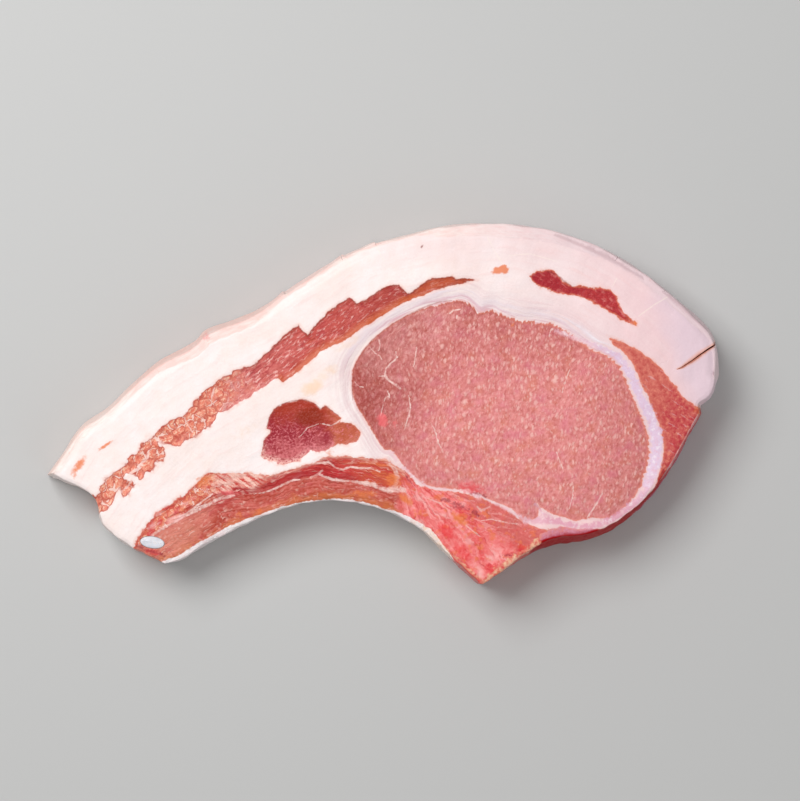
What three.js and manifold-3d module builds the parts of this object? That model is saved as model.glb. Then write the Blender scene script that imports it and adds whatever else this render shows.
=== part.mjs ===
// A raw pork rib chop with its rind on, lying on one of its two cut faces.
// Millimetres, +Z up. +X runs from the belly tail to the loin, +Y towards the rind.
import * as THREE from "three";
import { mergeVertices } from "three/addons/utils/BufferGeometryUtils.js";
import Module from "manifold-3d";

const wasm = await Module();
wasm.setup();
const { clamp, lerp, smoothstep } = THREE.MathUtils;

// Driving dimensions.
const loinThickness = 21; // between the cut faces at the loin eye
const tailThickness = 17.5; // between the cut faces at the tail end
const thickening = { from: 0.1, to: 0.5 }; // the shares of the length between which one becomes the other
const edgeRound = 1.1; // how far the cut faces' edges are rounded over
const edgeFade = 2.6; // how far in from the edge the top face starts to fall
const cellsPerRung = 4;
const cellsAcross = 32;

// How far the walls lean in at the top: [share of the side's length, lean].
// The long sides are counted from the tail, the ends from the rind.
const lean = {
  rind: [[0, 2.0], [0.22, 2.2], [0.38, 1.2], [0.72, 1.2], [0.86, 2.2], [1, 2.5]],
  inner: [
    [0, 0.5], [0.2, 0.3], [0.38, 0.4], [0.46, 1], [0.58, 1], [0.66, 2.8], [0.76, 2.8], [0.84, 2.4], [1, 2.2],
  ],
  tail: [[0, 1.6], [0.35, 1.7], [0.5, 2.3], [0.75, 2.1], [1, 1.7]],
  loin: [[0, 2.3], [1, 2.0]],
};
const sharpest = 0.65; // the cosine of half a corner's turn, where a sharper corner counts as this sharp

// Rungs across the chop, tail to loin: [rind x, rind y, inner side x, inner side y].
const rungs = [
  [-97.0, -20.7, -61.6, -46.0],
  [-92.0, -13.5, -57.6, -44.8],
  [-86.9, -6.2, -50.5, -40.5],
  [-79.3, -0.7, -43.1, -36.7],
  [-66.3, 11.2, -36.5, -33.4],
  [-55.0, 17.6, -29.7, -30.6],
  [-50.5, 21.6, -24.5, -29.0],
  [-37.0, 26.8, -19.9, -28.1],
  [-27.6, 32.8, -13.5, -27.8],
  [-12.0, 42.4, -6.8, -28.5],
  [-2.0, 46.3, 0.0, -30.3],
  [6.0, 48.4, 5.7, -32.9],
  [13.5, 50.3, 11.5, -36.8],
  [20.0, 51.5, 17.8, -43.1],
  [26.8, 52.1, 25.4, -50.2],
  [33.5, 52.0, 28.2, -52.1],
  [40.0, 51.4, 31.2, -50.6],
  [47.1, 50.3, 41.8, -44.0],
  [53.0, 48.7, 45.4, -42.2],
  [58.5, 46.7, 50.6, -40.6],
  [64.5, 44.1, 57.6, -39.8],
  [72.4, 39.8, 65.4, -37.0],
  [79.9, 34.4, 72.4, -31.9],
  [87.0, 28.7, 78.2, -26.3],
  [92.7, 23.5, 82.8, -19.8],
  [95.6, 19.4, 86.3, -13.6],
  [97.0, 13.8, 89.2, -8.2],
  [97.0, 8.0, 92.0, -3.0],
];

// The ragged tail end and the short end of the loin, from the rind inwards.
const tailEdge = [
  [-97.0, -20.7], [-91.5, -22.6], [-83.2, -26.9], [-81.6, -33.0], [-79.2, -36.6], [-73.2, -41.2],
  [-61.6, -46.0],
];
const loinEdge = [[97.0, 8.0], [94.9, 1.8], [91.9, -0.8], [92.0, -3.0]];
const endBlend = 0.14; // the share of the length over which an end's own line fades out

// The round loin muscle seen on the cut face.
const eyeOutline = [
  [-8.4, 5.6], [-7.4, 12.3], [-4.5, 16.0], [1.7, 20.4], [9.9, 26.1], [18.6, 28.9], [25.4, 27.0], [33.3, 25.3],
  [47.7, 21.9], [58.9, 15.4], [67.1, 8.1], [71.3, 0.1], [75.2, -10.7], [75.4, -16.9], [70.7, -27.2],
  [65.3, -31.7], [53.6, -32.3], [43.9, -30.9], [39.5, -32.6], [30.5, -27.2], [16.7, -23.9], [9.6, -21.0],
  [0.4, -12.5], [-3.9, -5.7],
];
const eyeCrown = { height: 1.3, width: 14 };
const eyeSeam = { depth: 0.7, width: 2.2 };

// Lesser muscles lie a little lower than the fat, which swells away from the loin muscle.
const lump = { x: -21, y: -7.5, reachX: 13, reachY: 8, depth: 0.55, flat: 0.7, rim: 1.2 };
const streakLine = [[-80, -29], [-66, -14], [-50, -1], [-33, 12], [-13, 23], [2, 30], [23, 34.5]];
const ribLine = [[-64, -39], [-45, -28], [-23, -22], [0, -23.5], [16, -32], [26, -41]];
const strip = { depth: 0.45, width: 5 };
const fatSwell = { height: 0.5, width: 8 };
const waves = [
  { height: 0.3, overX: 17, overY: 23, start: 0 },
  { height: 0.2, overX: 9, overY: -12, start: 1 },
];

// Score cuts through the rind: the point on the rind, and the point where the cut ends in the fat.
const openCut = { line: [[98.5, 18.9], [92.7, 15.8], [89.7, 13.8], [86.0, 11.2], [83.2, 9.7]], width: 1.1 };
const closedCuts = [
  [[-29.6, 33.9], [-27.4, 31.0]],
  [[-12.4, 43.6], [-11.1, 40.5]],
  [[-2.4, 47.6], [-1.6, 44.5]],
  [[68.2, 43.6], [65.8, 40.3]],
  [[82.8, 34.0], [79.4, 31.5]],
];
const closedCutWidth = 0.7;
const cutTip = 0.12;
const toolReach = 10; // how far a cutting tool goes past both cut faces

// The rib's cartilage end, in a hole through the tail's inner corner.
const cartilage = { x: -65.1, y: -39.3, reachX: 3.5, reachY: 1.75, turn: -0.14, proud: 0.35, round: 0.5 };
const cartilageGap = 0.3;
const cartilageSides = 28;

const meatLook = { color: 0xe2a9a4, roughness: 0.45, metalness: 0 };
const cartilageLook = { color: 0xdbd8e2, roughness: 0.35, metalness: 0 };

// The value at a place in a table of [place, value].
function lookUp(table, place) {
  const after = Math.max(1, table.findIndex(([at]) => at >= place));
  const [[fromPlace, from], [toPlace, to]] = [table[after - 1], table[after]];
  return lerp(from, to, (place - fromPlace) / (toPlace - fromPlace));
}

// A side of the outline as points, each with its wall's lean.
const leaningSide = (points, table) =>
  points.map(([x, y], i) => ({ at: new THREE.Vector2(x, y), lean: lookUp(table, i / (points.length - 1)) }));

const rindSide = leaningSide(rungs.map((rung) => rung.slice(0, 2)), lean.rind);
const innerSide = leaningSide(rungs.map((rung) => rung.slice(2)), lean.inner);
const tailSide = leaningSide(tailEdge, lean.tail);
const loinSide = leaningSide(loinEdge, lean.loin);

// The sides as one loop, clockwise from the tail's corner on the rind, and where each side starts in it.
const loop = [
  ...rindSide,
  ...loinSide.slice(1, -1),
  ...innerSide.toReversed(),
  ...tailSide.slice(1, -1).toReversed(),
];
const innerEnd = rindSide.length + loinSide.length - 2 + innerSide.length;

// The outline moved square inwards, each point by the distance given for it: its loop and its four curves.
function insetOutline(distance) {
  const points = loop.map((here, i) => {
    const arriving = here.at.clone().sub(loop.at(i - 1).at).normalize();
    const leaving = loop[(i + 1) % loop.length].at.clone().sub(here.at).normalize();
    const way = arriving.clone().add(leaving).normalize();
    const reach = distance(here) / Math.max(way.dot(leaving), sharpest);
    return new THREE.Vector2(here.at.x + way.y * reach, here.at.y - way.x * reach);
  });
  const rungsEnd = rindSide.length - 1;
  return {
    points,
    rind: new THREE.SplineCurve(points.slice(0, rungsEnd + 1)),
    loin: new THREE.SplineCurve(points.slice(rungsEnd, rungsEnd + loinSide.length)),
    inner: new THREE.SplineCurve(points.slice(rungsEnd + loinSide.length - 1, innerEnd).toReversed()),
    tail: new THREE.SplineCurve([...points.slice(innerEnd - 1), points[0]].toReversed()),
  };
}

const foot = insetOutline(() => 0);
const head = insetOutline((point) => point.lean);
const rounded = insetOutline(() => edgeRound);
const faceOutline = insetOutline((point) => point.lean + edgeRound).points.map(({ x, y }) => [x, y]);

// Where the chop's own coordinates land: u from tail to loin, v from the rind inwards, both 0 to 1.
function chopPoint({ rind, inner, tail, loin }, u, v) {
  const point = rind.getPoint(u).lerp(inner.getPoint(u), v);
  for (const [edge, at] of [[tail, 0], [loin, 1]]) {
    const straight = rind.getPoint(at).lerp(inner.getPoint(at), v);
    const weight = 1 - smoothstep(Math.abs(u - at), 0, endBlend);
    point.addScaledVector(edge.getPoint(v).sub(straight), weight);
  }
  return point;
}

// The distance from a point to a line through points, closed or open.
function distanceTo(points, x, y, closed = false) {
  let best = Infinity;
  const count = closed ? points.length : points.length - 1;
  for (let i = 0; i < count; i++) {
    const [ax, ay] = points[i];
    const [bx, by] = points[(i + 1) % points.length];
    const [dx, dy] = [bx - ax, by - ay];
    const along = clamp(((x - ax) * dx + (y - ay) * dy) / (dx * dx + dy * dy), 0, 1);
    best = Math.min(best, Math.hypot(x - ax - along * dx, y - ay - along * dy));
  }
  return best;
}

function isInside(points, x, y) {
  let inside = false;
  points.forEach(([ax, ay], i) => {
    const [bx, by] = points[(i + 1) % points.length];
    if (ay > y !== by > y && x < ((bx - ax) * (y - ay)) / (by - ay) + ax) inside = !inside;
  });
  return inside;
}

const bell = (distance, width) => Math.exp(-((distance / width) ** 2));

// Height of the upper cut face above the lower one.
function faceHeight(x, y, u) {
  const thickness = lerp(tailThickness, loinThickness, smoothstep(u, thickening.from, thickening.to));
  const toEye = distanceTo(eyeOutline, x, y, true);
  const inEye = isInside(eyeOutline, x, y);
  const crown = inEye ? eyeCrown.height * smoothstep(toEye, 0, eyeCrown.width) : 0;
  const swell = inEye ? 0 : fatSwell.height * smoothstep(toEye, 0, fatSwell.width);
  const seam = eyeSeam.depth * bell(toEye, eyeSeam.width);
  const lumpFar = Math.hypot((x - lump.x) / lump.reachX, (y - lump.y) / lump.reachY);
  const lumpSunk = lump.depth * (1 - smoothstep(lumpFar, lump.flat, lump.rim));
  const strips = [streakLine, ribLine].map((line) => strip.depth * bell(distanceTo(line, x, y), strip.width));
  const wander = waves.map((wave) => wave.height * Math.sin(x / wave.overX + y / wave.overY + wave.start));
  return thickness + crown + swell + wander[0] + wander[1] - seam - lumpSunk - strips[0] - strips[1];
}

// The levels of the side wall: share of the height, and how much of the lean and of the rounding each takes.
const levels = [
  { height: 0, lean: 0, round: 1 },
  { height: 0.06, lean: 0, round: 0 },
  { height: 0.35, lean: 0.22, round: 0 },
  { height: 0.68, lean: 0.6, round: 0 },
  { height: 0.95, lean: 1, round: 0 },
  { height: 1, lean: 1, round: 1 },
];

// A place on the chop's surface: u and v run from 0 to 1 along and across it, at one of the levels.
function surfacePoint(u, v, level) {
  const start = chopPoint(foot, u, v);
  const leaned = chopPoint(head, u, v).sub(start).multiplyScalar(level.lean);
  const turned = chopPoint(rounded, u, v).sub(start).multiplyScalar(level.round);
  const { x, y } = start.add(leaned).add(turned);
  const toEdge = isInside(faceOutline, x, y) ? distanceTo(faceOutline, x, y, true) : 0;
  const top = faceHeight(x, y, u) - edgeRound * (1 - smoothstep(toEdge, 0, edgeFade));
  return [x, y, top * level.height];
}

// The flesh, fat and rind, grown together: a box of cells carried to the chop's own shape.
// Its lower cut face is flat, so that face is one polygon in place of the box's cells.
function chopGeometry() {
  const along = cellsPerRung * (rungs.length - 1);
  const box = new THREE.BoxGeometry(1, 1, 1, along, cellsAcross, levels.length - 1);
  const at = box.attributes.position;
  for (let i = 0; i < at.count; i++) {
    const u = Math.round((at.getX(i) + 0.5) * along) / along;
    const v = Math.round((0.5 - at.getY(i)) * cellsAcross) / cellsAcross;
    const level = levels[Math.round((at.getZ(i) + 0.5) * (levels.length - 1))];
    at.setXYZ(i, ...surfacePoint(u, v, level));
  }
  const lowerFace = box.groups.at(-1);
  const index = [...box.index.array].slice(0, lowerFace.start);
  const row = along + 1;
  const first = at.count - row * (cellsAcross + 1);
  const border = [];
  for (let i = 0; i < along; i++) border.push(first + i);
  for (let j = 0; j < cellsAcross; j++) border.push(first + along + j * row);
  for (let i = along; i > 0; i--) border.push(first + cellsAcross * row + i);
  for (let j = cellsAcross; j > 0; j--) border.push(first + j * row);
  const outline = border.map((i) => new THREE.Vector2(at.getX(i), at.getY(i)));
  const facesUp = !THREE.ShapeUtils.isClockWise(outline);
  THREE.ShapeUtils.triangulateShape(outline, []).forEach(([p, q, r]) =>
    index.push(...(facesUp ? [border[p], border[r], border[q]] : [border[p], border[q], border[r]])),
  );
  box.setIndex(index);
  return box;
}

function toSolid(geometry) {
  const bare = geometry.clone();
  bare.deleteAttribute("normal");
  bare.deleteAttribute("uv");
  const merged = mergeVertices(bare);
  return new wasm.Manifold(
    new wasm.Mesh({
      numProp: 3,
      vertProperties: new Float32Array(merged.attributes.position.array),
      triVerts: new Uint32Array(merged.index.array),
    }),
  );
}

function toGeometry(solid) {
  const mesh = solid.getMesh();
  const geometry = new THREE.BufferGeometry();
  geometry.setAttribute("position", new THREE.BufferAttribute(new Float32Array(mesh.vertProperties), 3));
  geometry.setIndex(new THREE.BufferAttribute(new Uint32Array(mesh.triVerts), 1));
  geometry.computeVertexNormals();
  return geometry;
}

// A knife cut standing on its line: as wide as width where it enters, closing to its tip.
function cutGeometry(line, width) {
  const left = [];
  const right = [];
  line.forEach(([x, y], i) => {
    const [px, py] = line[Math.max(0, i - 1)];
    const [nx, ny] = line[Math.min(line.length - 1, i + 1)];
    const half = lerp(width, cutTip, i / (line.length - 1)) / 2;
    const side = new THREE.Vector2(py - ny, nx - px).setLength(half);
    left.push(new THREE.Vector2(x, y).add(side));
    right.unshift(new THREE.Vector2(x, y).sub(side));
  });
  const depth = loinThickness + 2 * toolReach;
  const cut = new THREE.ExtrudeGeometry(new THREE.Shape([...left, ...right]), { depth, bevelEnabled: false });
  return cut.translate(0, 0, -toolReach);
}

// A standing rod with an oval section and a softly rounded top edge.
function rodGeometry(grow, bottom, top) {
  const { x, y, reachX, reachY, turn, round } = cartilage;
  const profile = [[0, bottom], [1, bottom], [1, top - round], [1 - round / reachX, top], [0, top]];
  const rod = new THREE.LatheGeometry(profile.map(([r, z]) => new THREE.Vector2(r, z)), cartilageSides);
  rod.rotateX(Math.PI / 2).scale(reachX + grow, reachY + grow, 1);
  return rod.rotateZ(turn).translate(x, y, 0);
}

function namedMesh(name, geometry, look) {
  const mesh = new THREE.Mesh(geometry, new THREE.MeshStandardMaterial(look));
  mesh.name = name;
  return mesh;
}

const scores = [openCut, ...closedCuts.map((line) => ({ line, width: closedCutWidth }))];
const cuts = scores.map(({ line, width }) => toSolid(cutGeometry(line, width)));
const rodHole = toSolid(rodGeometry(cartilageGap, -toolReach, loinThickness + toolReach));
const chopSolid = [...cuts, rodHole].reduce((solid, cut) => solid.subtract(cut), toSolid(chopGeometry()));
const rod = rodGeometry(0, 0, tailThickness + cartilage.proud);

const porkChop = new THREE.Group();
porkChop.add(
  namedMesh("chop", toGeometry(chopSolid), meatLook),
  namedMesh("rib_cartilage", rod, cartilageLook),
);

export default porkChop;
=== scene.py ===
import math

import bmesh
import bpy
import numpy as np
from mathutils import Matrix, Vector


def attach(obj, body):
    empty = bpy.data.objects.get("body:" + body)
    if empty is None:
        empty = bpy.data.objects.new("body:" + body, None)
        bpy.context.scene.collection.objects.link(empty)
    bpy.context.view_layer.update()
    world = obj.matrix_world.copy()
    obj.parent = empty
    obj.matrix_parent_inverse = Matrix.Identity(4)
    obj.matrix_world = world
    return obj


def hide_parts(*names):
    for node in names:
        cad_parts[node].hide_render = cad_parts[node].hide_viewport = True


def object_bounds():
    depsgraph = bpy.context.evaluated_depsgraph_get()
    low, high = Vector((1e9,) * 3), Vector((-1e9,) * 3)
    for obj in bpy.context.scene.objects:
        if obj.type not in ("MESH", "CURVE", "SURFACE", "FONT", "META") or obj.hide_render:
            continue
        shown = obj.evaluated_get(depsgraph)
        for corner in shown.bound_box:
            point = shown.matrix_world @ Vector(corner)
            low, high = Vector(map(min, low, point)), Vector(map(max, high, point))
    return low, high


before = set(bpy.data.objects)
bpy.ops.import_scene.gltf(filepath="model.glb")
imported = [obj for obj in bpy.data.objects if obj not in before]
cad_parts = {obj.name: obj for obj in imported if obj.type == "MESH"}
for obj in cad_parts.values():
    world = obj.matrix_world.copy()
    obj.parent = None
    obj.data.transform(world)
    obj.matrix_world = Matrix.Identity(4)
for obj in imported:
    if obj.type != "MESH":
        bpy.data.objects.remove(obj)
cadLow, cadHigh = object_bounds()
mm = 0.001
boxGap = 1e-5
smoothAngle = math.radians(40)


print("camera")

camera = {
    "lens": 120,
    "frameWidth": 0.2323,         # how much of the table is seen
    "aimX": 0.0051, "aimY": 0.0009,
}
cameraHeight = camera["frameWidth"] * camera["lens"] / 36

cameraData = bpy.data.cameras.new("camera")
cameraData.lens = camera["lens"]
cameraObject = bpy.data.objects.new("camera", cameraData)
cameraObject.location = (camera["aimX"], camera["aimY"], cameraHeight)
bpy.context.scene.collection.objects.link(cameraObject)
bpy.context.scene.camera = cameraObject


# small helpers for shapes: everything here is in millimetres

def mix(a, b, share):
    return a + (b - a) * share


def smooth(share):
    share = np.clip(share, 0, 1)
    return share * share * (3 - 2 * share)


def bell(distance, width):
    return np.exp(-(distance / width) ** 2)


def alongCurve(points, position):
    # a Catmull-Rom curve, its positions counted in points
    points = np.asarray(points, float)
    first = np.clip(np.floor(position).astype(int), 0, len(points) - 2)
    t = (position - first)[:, None]
    p, q, r, s = (points[np.clip(first + step, 0, len(points) - 1)] for step in (-1, 0, 1, 2))
    return q + t / 2 * (r - p + t * (2 * p - 5 * q + 4 * r - s + t * (3 * (q - r) + s - p)))


def smoothLine(points, closed=False, steps=4):
    if closed:
        points = [points[-1]] + list(points) + [points[0], points[1]]
        return alongCurve(points, np.arange(1, len(points) - 2, 1 / steps))
    return alongCurve(points, np.arange(0, len(points) - 1 + 1e-6, 1 / steps))


def nearest(line, x, y, closed=False):
    # for every vertex: how far the line is, the way to it, and the place along it in points
    line = np.asarray(line, float)
    ends = np.roll(line, -1, axis=0) if closed else line[1:]
    far = np.full(len(x), 1e9)
    wayX, wayY, place = np.zeros(len(x)), np.zeros(len(x)), np.zeros(len(x))
    for i in range(len(ends)):
        ax, ay = line[i][:2]
        dx, dy = ends[i][0] - ax, ends[i][1] - ay
        share = np.clip(((x - ax) * dx + (y - ay) * dy) / (dx * dx + dy * dy), 0, 1)
        gapX, gapY = ax + share * dx - x, ay + share * dy - y
        gap = np.hypot(gapX, gapY)
        closer = gap < far
        far[closer] = gap[closer]
        wayX[closer], wayY[closer] = gapX[closer], gapY[closer]
        place[closer] = i + share[closer]
    return far, wayX, wayY, place


def lengthAlong(line, place):
    # the place in points turned into millimetres
    steps = np.linalg.norm(np.diff(np.asarray(line, float)[:, :2], axis=0), axis=1)
    return np.interp(place, range(len(line)), np.concatenate([[0], np.cumsum(steps)]))


def insideBy(outline, x, y):
    # the distance to a closed outline, above 0 inside it
    outline = np.asarray(outline, float)
    inside = np.zeros(len(x), bool)
    for (ax, ay), (bx, by) in zip(outline, np.roll(outline, -1, axis=0)):
        if ay != by:
            inside ^= ((ay > y) != (by > y)) & (x < (bx - ax) * (y - ay) / (by - ay) + ax)
    return np.where(inside, 1, -1) * nearest(outline, x, y, closed=True)[0]


def lumps(x, y, z, size, seed):
    # smooth noise from -1 to 1
    cells, shift = 64, 500
    lattice = np.random.default_rng(seed).uniform(-1, 1, (cells, cells, cells))
    x, y, z = x / size + shift, y / size + shift, z / size + shift
    total = 0
    for cornerX in (0, 1):
        for cornerY in (0, 1):
            for cornerZ in (0, 1):
                weight = 1
                index = []
                for value, corner in ((x, cornerX), (y, cornerY), (z, cornerZ)):
                    whole = np.floor(value)
                    part = smooth(value - whole)
                    weight = weight * (part if corner else 1 - part)
                    index.append((whole.astype(int) + corner) % cells)
                total = total + weight * lattice[index[0], index[1], index[2]]
    return total


def onFace(points, raised=21.5):
    # outlines below are given at the table's scale: the upper face is nearer the camera, so they shrink
    shrink = 1 - raised * mm / cameraHeight
    aim = np.array([camera["aimX"], camera["aimY"]]) / mm
    points = np.array(points, float)
    points[:, :2] = aim + (points[:, :2] - aim) * shrink
    return points


def deselectAll():
    if bpy.context.object and bpy.context.object.mode != "OBJECT":
        bpy.ops.object.mode_set(mode="OBJECT")
    bpy.ops.object.select_all(action="DESELECT")


def keepPlace(piece):
    deselectAll()
    piece.select_set(True)
    bpy.context.view_layer.objects.active = piece
    bpy.ops.object.transform_apply(location=True, rotation=True, scale=True)


# shader maths: a wire is a socket that can be added, multiplied and so on

class Wire:
    def __init__(self, shader, socket):
        self.shader, self.socket = shader, socket

    def __add__(self, other):
        return self.shader.math("ADD", self, other)

    def __sub__(self, other):
        return self.shader.math("SUBTRACT", self, other)

    def __rsub__(self, other):
        return self.shader.math("SUBTRACT", other, self)

    def __mul__(self, other):
        return self.shader.math("MULTIPLY", self, other)

    def __truediv__(self, other):
        return self.shader.math("DIVIDE", self, other)

    def __neg__(self):
        return self * -1

    def __pow__(self, other):
        return self.shader.math("POWER", self, other)

    __radd__ = __add__
    __rmul__ = __mul__

    def most(self, other):
        return self.shader.math("MAXIMUM", self, other)

    def least(self, other):
        return self.shader.math("MINIMUM", self, other)

    def held(self):
        return self.most(0).least(1)

    def size(self):
        return self.shader.math("ABSOLUTE", self)

    def ramp(self, low, high):
        # 0 at low, 1 at high, smooth between
        return self.shader.add("ShaderNodeMapRange", {"interpolation_type": "SMOOTHSTEP"},
                               {0: self, 1: low, 2: high, 3: 0.0, 4: 1.0})


class Shader:
    def __init__(self, name):
        self.material = bpy.data.materials.new(name)
        self.material.use_nodes = True
        self.nodes = self.material.node_tree.nodes
        self.nodes.clear()
        self.links = self.material.node_tree.links

    def add(self, kind, settings=None, sockets=None, output=0):
        node = self.nodes.new(kind)
        for name, value in (settings or {}).items():
            setattr(node, name, value)
        for name, value in (sockets or {}).items():
            if isinstance(value, Wire):
                self.links.new(value.socket, node.inputs[name])
            else:
                node.inputs[name].default_value = value
        return Wire(self, node.outputs[output]) if node.outputs else node

    def math(self, operation, *values):
        return self.add("ShaderNodeMath", {"operation": operation}, dict(enumerate(values)))

    def vector(self, operation, *values, output=0):
        return self.add("ShaderNodeVectorMath", {"operation": operation}, dict(enumerate(values)), output)

    def scaled(self, vector, factor):
        return self.add("ShaderNodeVectorMath", {"operation": "SCALE"}, {0: vector, "Scale": factor})

    def field(self, name):
        return self.add("ShaderNodeAttribute", {"attribute_name": name}, output=2)

    def fieldVector(self, name):
        return self.add("ShaderNodeAttribute", {"attribute_name": name}, output=1)

    def parts(self, vector):
        node = self.nodes.new("ShaderNodeSeparateXYZ")
        self.links.new(vector.socket, node.inputs[0])
        return [Wire(self, output) for output in node.outputs]

    def joined(self, x, y, z):
        return self.add("ShaderNodeCombineXYZ", {}, {0: x, 1: y, 2: z})

    def noise(self, vector, size, detail=2.0, rough=0.5):
        # about -1 to 1, its grains size across in the units of the vector
        wire = self.add("ShaderNodeTexNoise", {}, {"Vector": vector, "Scale": 1 / size, "Detail": detail,
                                                   "Roughness": rough})
        return (wire - 0.5) * 4

    def cells(self, vector, size, feature="F1"):
        return self.add("ShaderNodeTexVoronoi", {"feature": feature, "voronoi_dimensions": "2D"},
                        {"Vector": vector, "Scale": 1 / size})

    def cellsAndColour(self, vector, size):
        # the distance to the cell's heart, and the cell's own random colour
        far = self.cells(vector, size)
        return far, Wire(self, far.socket.node.outputs[1])

    def colour(self, share, first, second, blend="MIX"):
        return self.add("ShaderNodeMix", {"data_type": "RGBA", "blend_type": blend, "clamp_factor": True},
                        {0: share, 6: first, 7: second}, 2)


def tone(red, green, blue):
    # a display colour, 0 to 255, as the shader's linear colour
    def linear(value):
        value /= 255
        return value / 12.92 if value <= 0.04045 else ((value + 0.055) / 1.055) ** 2.4
    return (linear(red), linear(green), linear(blue), 1)


print("chop: outline and thickness")

chopShape = {
    "loinThickness": 21.0, "tailThickness": 17.5, "thickenFrom": 0.1, "thickenOver": 0.4,
    "rindRound": 0.7, "rindFade": 2.6, "cutRound": 0.3, "cutFade": 0.9,
    # how far the walls lean in towards the top: the share of the side's length, and the lean;
    # the long sides are counted from the tail, the ends from the rind
    "rindLean": [(0, 2.0), (0.22, 2.2), (0.38, 1.2), (0.72, 1.2), (0.86, 2.2), (1, 2.5)],
    "innerLean": [
        (0, 0.5), (0.2, 0.3), (0.38, 0.4), (0.46, 1), (0.58, 1), (0.66, 2.8), (0.76, 2.8), (0.84, 2.4),
        (1, 2.2),
    ],
    "tailLean": [(0, 1.2), (0.35, 1.3), (0.5, 1.9), (0.75, 1.7), (1, 1.3)],
    "loinLean": [(0, 2.3), (1, 2.0)],
    # x, and the width of the strip of rind that shows on the cut face
    "skinStrip": [
        (-97, 1.0), (-64, 1.6), (-54, 2.6), (-38, 2.5), (-28, 0.8), (10, 0.6), (20, 2.4), (36, 3.2),
        (55, 2.4), (70, 1.5), (88, 1.3), (97, 0.6),
    ],
    # x, and the width of the membrane that shows along the curved inner side
    "membraneStrip": [
        (-72, 0.5), (-60, 1.1), (-45, 1.4), (-33, 0.7), (-24, 0.3), (-8, 0.7), (0, 0.4), (8, 1.1),
        (14, 1.3), (18, 0.6), (21, -0.4), (97, -0.4),
    ],
    "eyeCrown": 1.3, "eyeCrownWidth": 14.0, "seamDepth": 0.7, "seamWidth": 2.2,
    "fatSwell": 0.5, "fatSwellWidth": 8, "leanSink": 0.35, "leanSinkStart": 0.6, "leanSinkWidth": 2.2,
    # on the cut face, waves of height, length over x and y, and shift, and bumps of height, grain and seed
    "waves": [(0.3, 17, 23, 0), (0.2, 9, -12, 1)],
    "bumps": [(0.16, 4.5, 3), (0.07, 2.0, 4)],
    "cellsAlong": 330, "cellsAcross": 116,
}

# across the chop, tail to loin: rind x, rind y, inner side x, inner side y
rungs = [
    (-97.0, -20.7, -61.6, -46.0), (-92.0, -13.5, -57.6, -44.8), (-86.9, -6.2, -50.5, -40.5),
    (-79.3, -0.7, -43.1, -36.7), (-66.3, 11.2, -36.5, -33.4), (-55.0, 17.6, -29.7, -30.6),
    (-50.5, 21.6, -24.5, -29.0), (-37.0, 26.8, -19.9, -28.1), (-27.6, 32.8, -13.5, -27.8),
    (-12.0, 42.4, -6.8, -28.5), (-2.0, 46.3, 0.0, -30.3), (6.0, 48.4, 5.7, -32.9),
    (13.5, 50.3, 11.5, -36.8), (20.0, 51.5, 17.8, -43.1), (26.8, 52.1, 25.4, -50.2),
    (33.5, 52.0, 28.2, -52.1), (40.0, 51.4, 31.2, -50.6), (47.1, 50.3, 41.8, -44.0),
    (53.0, 48.7, 45.4, -42.2), (58.5, 46.7, 50.6, -40.6), (64.5, 44.1, 57.6, -39.8),
    (72.4, 39.8, 65.4, -37.0), (79.9, 34.4, 72.4, -31.9), (87.0, 28.7, 78.2, -26.3),
    (92.7, 23.5, 82.8, -19.8), (95.6, 19.4, 86.3, -13.6), (97.0, 13.8, 89.2, -8.2),
    (97.0, 8.0, 92.0, -3.0),
]
rindCurve = [rung[:2] for rung in rungs]
innerCurve = [rung[2:] for rung in rungs]
tailEdge = [
    (-97.0, -20.7), (-91.5, -22.6), (-83.2, -26.9), (-81.6, -33.0), (-79.2, -36.6), (-73.2, -41.2),
    (-61.6, -46.0),
]
loinEdge = [(97.0, 8.0), (94.9, 1.8), (91.9, -0.8), (92.0, -3.0)]
endBlend = 0.14
lastRung = len(rungs) - 1
# the cosine of half a corner's turn, where a sharper one counts as this sharp
sharpest = 0.65

# side walls: share of the height, share of the lean, share of the rounding
bottomArc = [(0.06 * (1 - math.cos(a)), 0, 1 - math.sin(a)) for a in np.radians((0, 25, 50, 75))]
straight = [(0.06, 0, 0), (0.2, 0.1, 0), (0.35, 0.22, 0), (0.52, 0.41, 0), (0.68, 0.6, 0), (0.82, 0.8, 0)]
topArc = [(0.95 + 0.05 * math.sin(a), 1, 1 - math.cos(a)) for a in np.radians((0, 30, 60, 90))]
levels = np.array(bottomArc + straight + topArc)

# where the rind was scored, the flap before each cut stands out a little
flaps = {
    "at": [(-28.6, 32.9), (-11.2, 42.8), (-2.2, 46.6)], "height": 0.55, "length": 6.0,
    # along the rind towards the cut, turned a quarter for the way out; and the share of b that they take up
    "along": (0.86, 0.5), "out": (-0.5, 0.86), "depth": 0.03,
}

# the uneven walls: how far and at what grain, broadly on all of them and finely on the cut ones
wallNoise = {"reach": 0.25, "grain": 5.0, "fineReach": 0.22, "fineGrain": 1.9, "fade": 1.5, "fineTall": 3}


def leaningSide(points, side):
    # x, y and how far the wall leans in there
    lean = np.interp(np.linspace(0, 1, len(points)), *zip(*chopShape[side]))
    return np.column_stack([np.array(points, float), lean])


rindSide, innerSide = leaningSide(rindCurve, "rindLean"), leaningSide(innerCurve, "innerLean")
tailSide, loinSide = leaningSide(tailEdge, "tailLean"), leaningSide(loinEdge, "loinLean")


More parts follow.
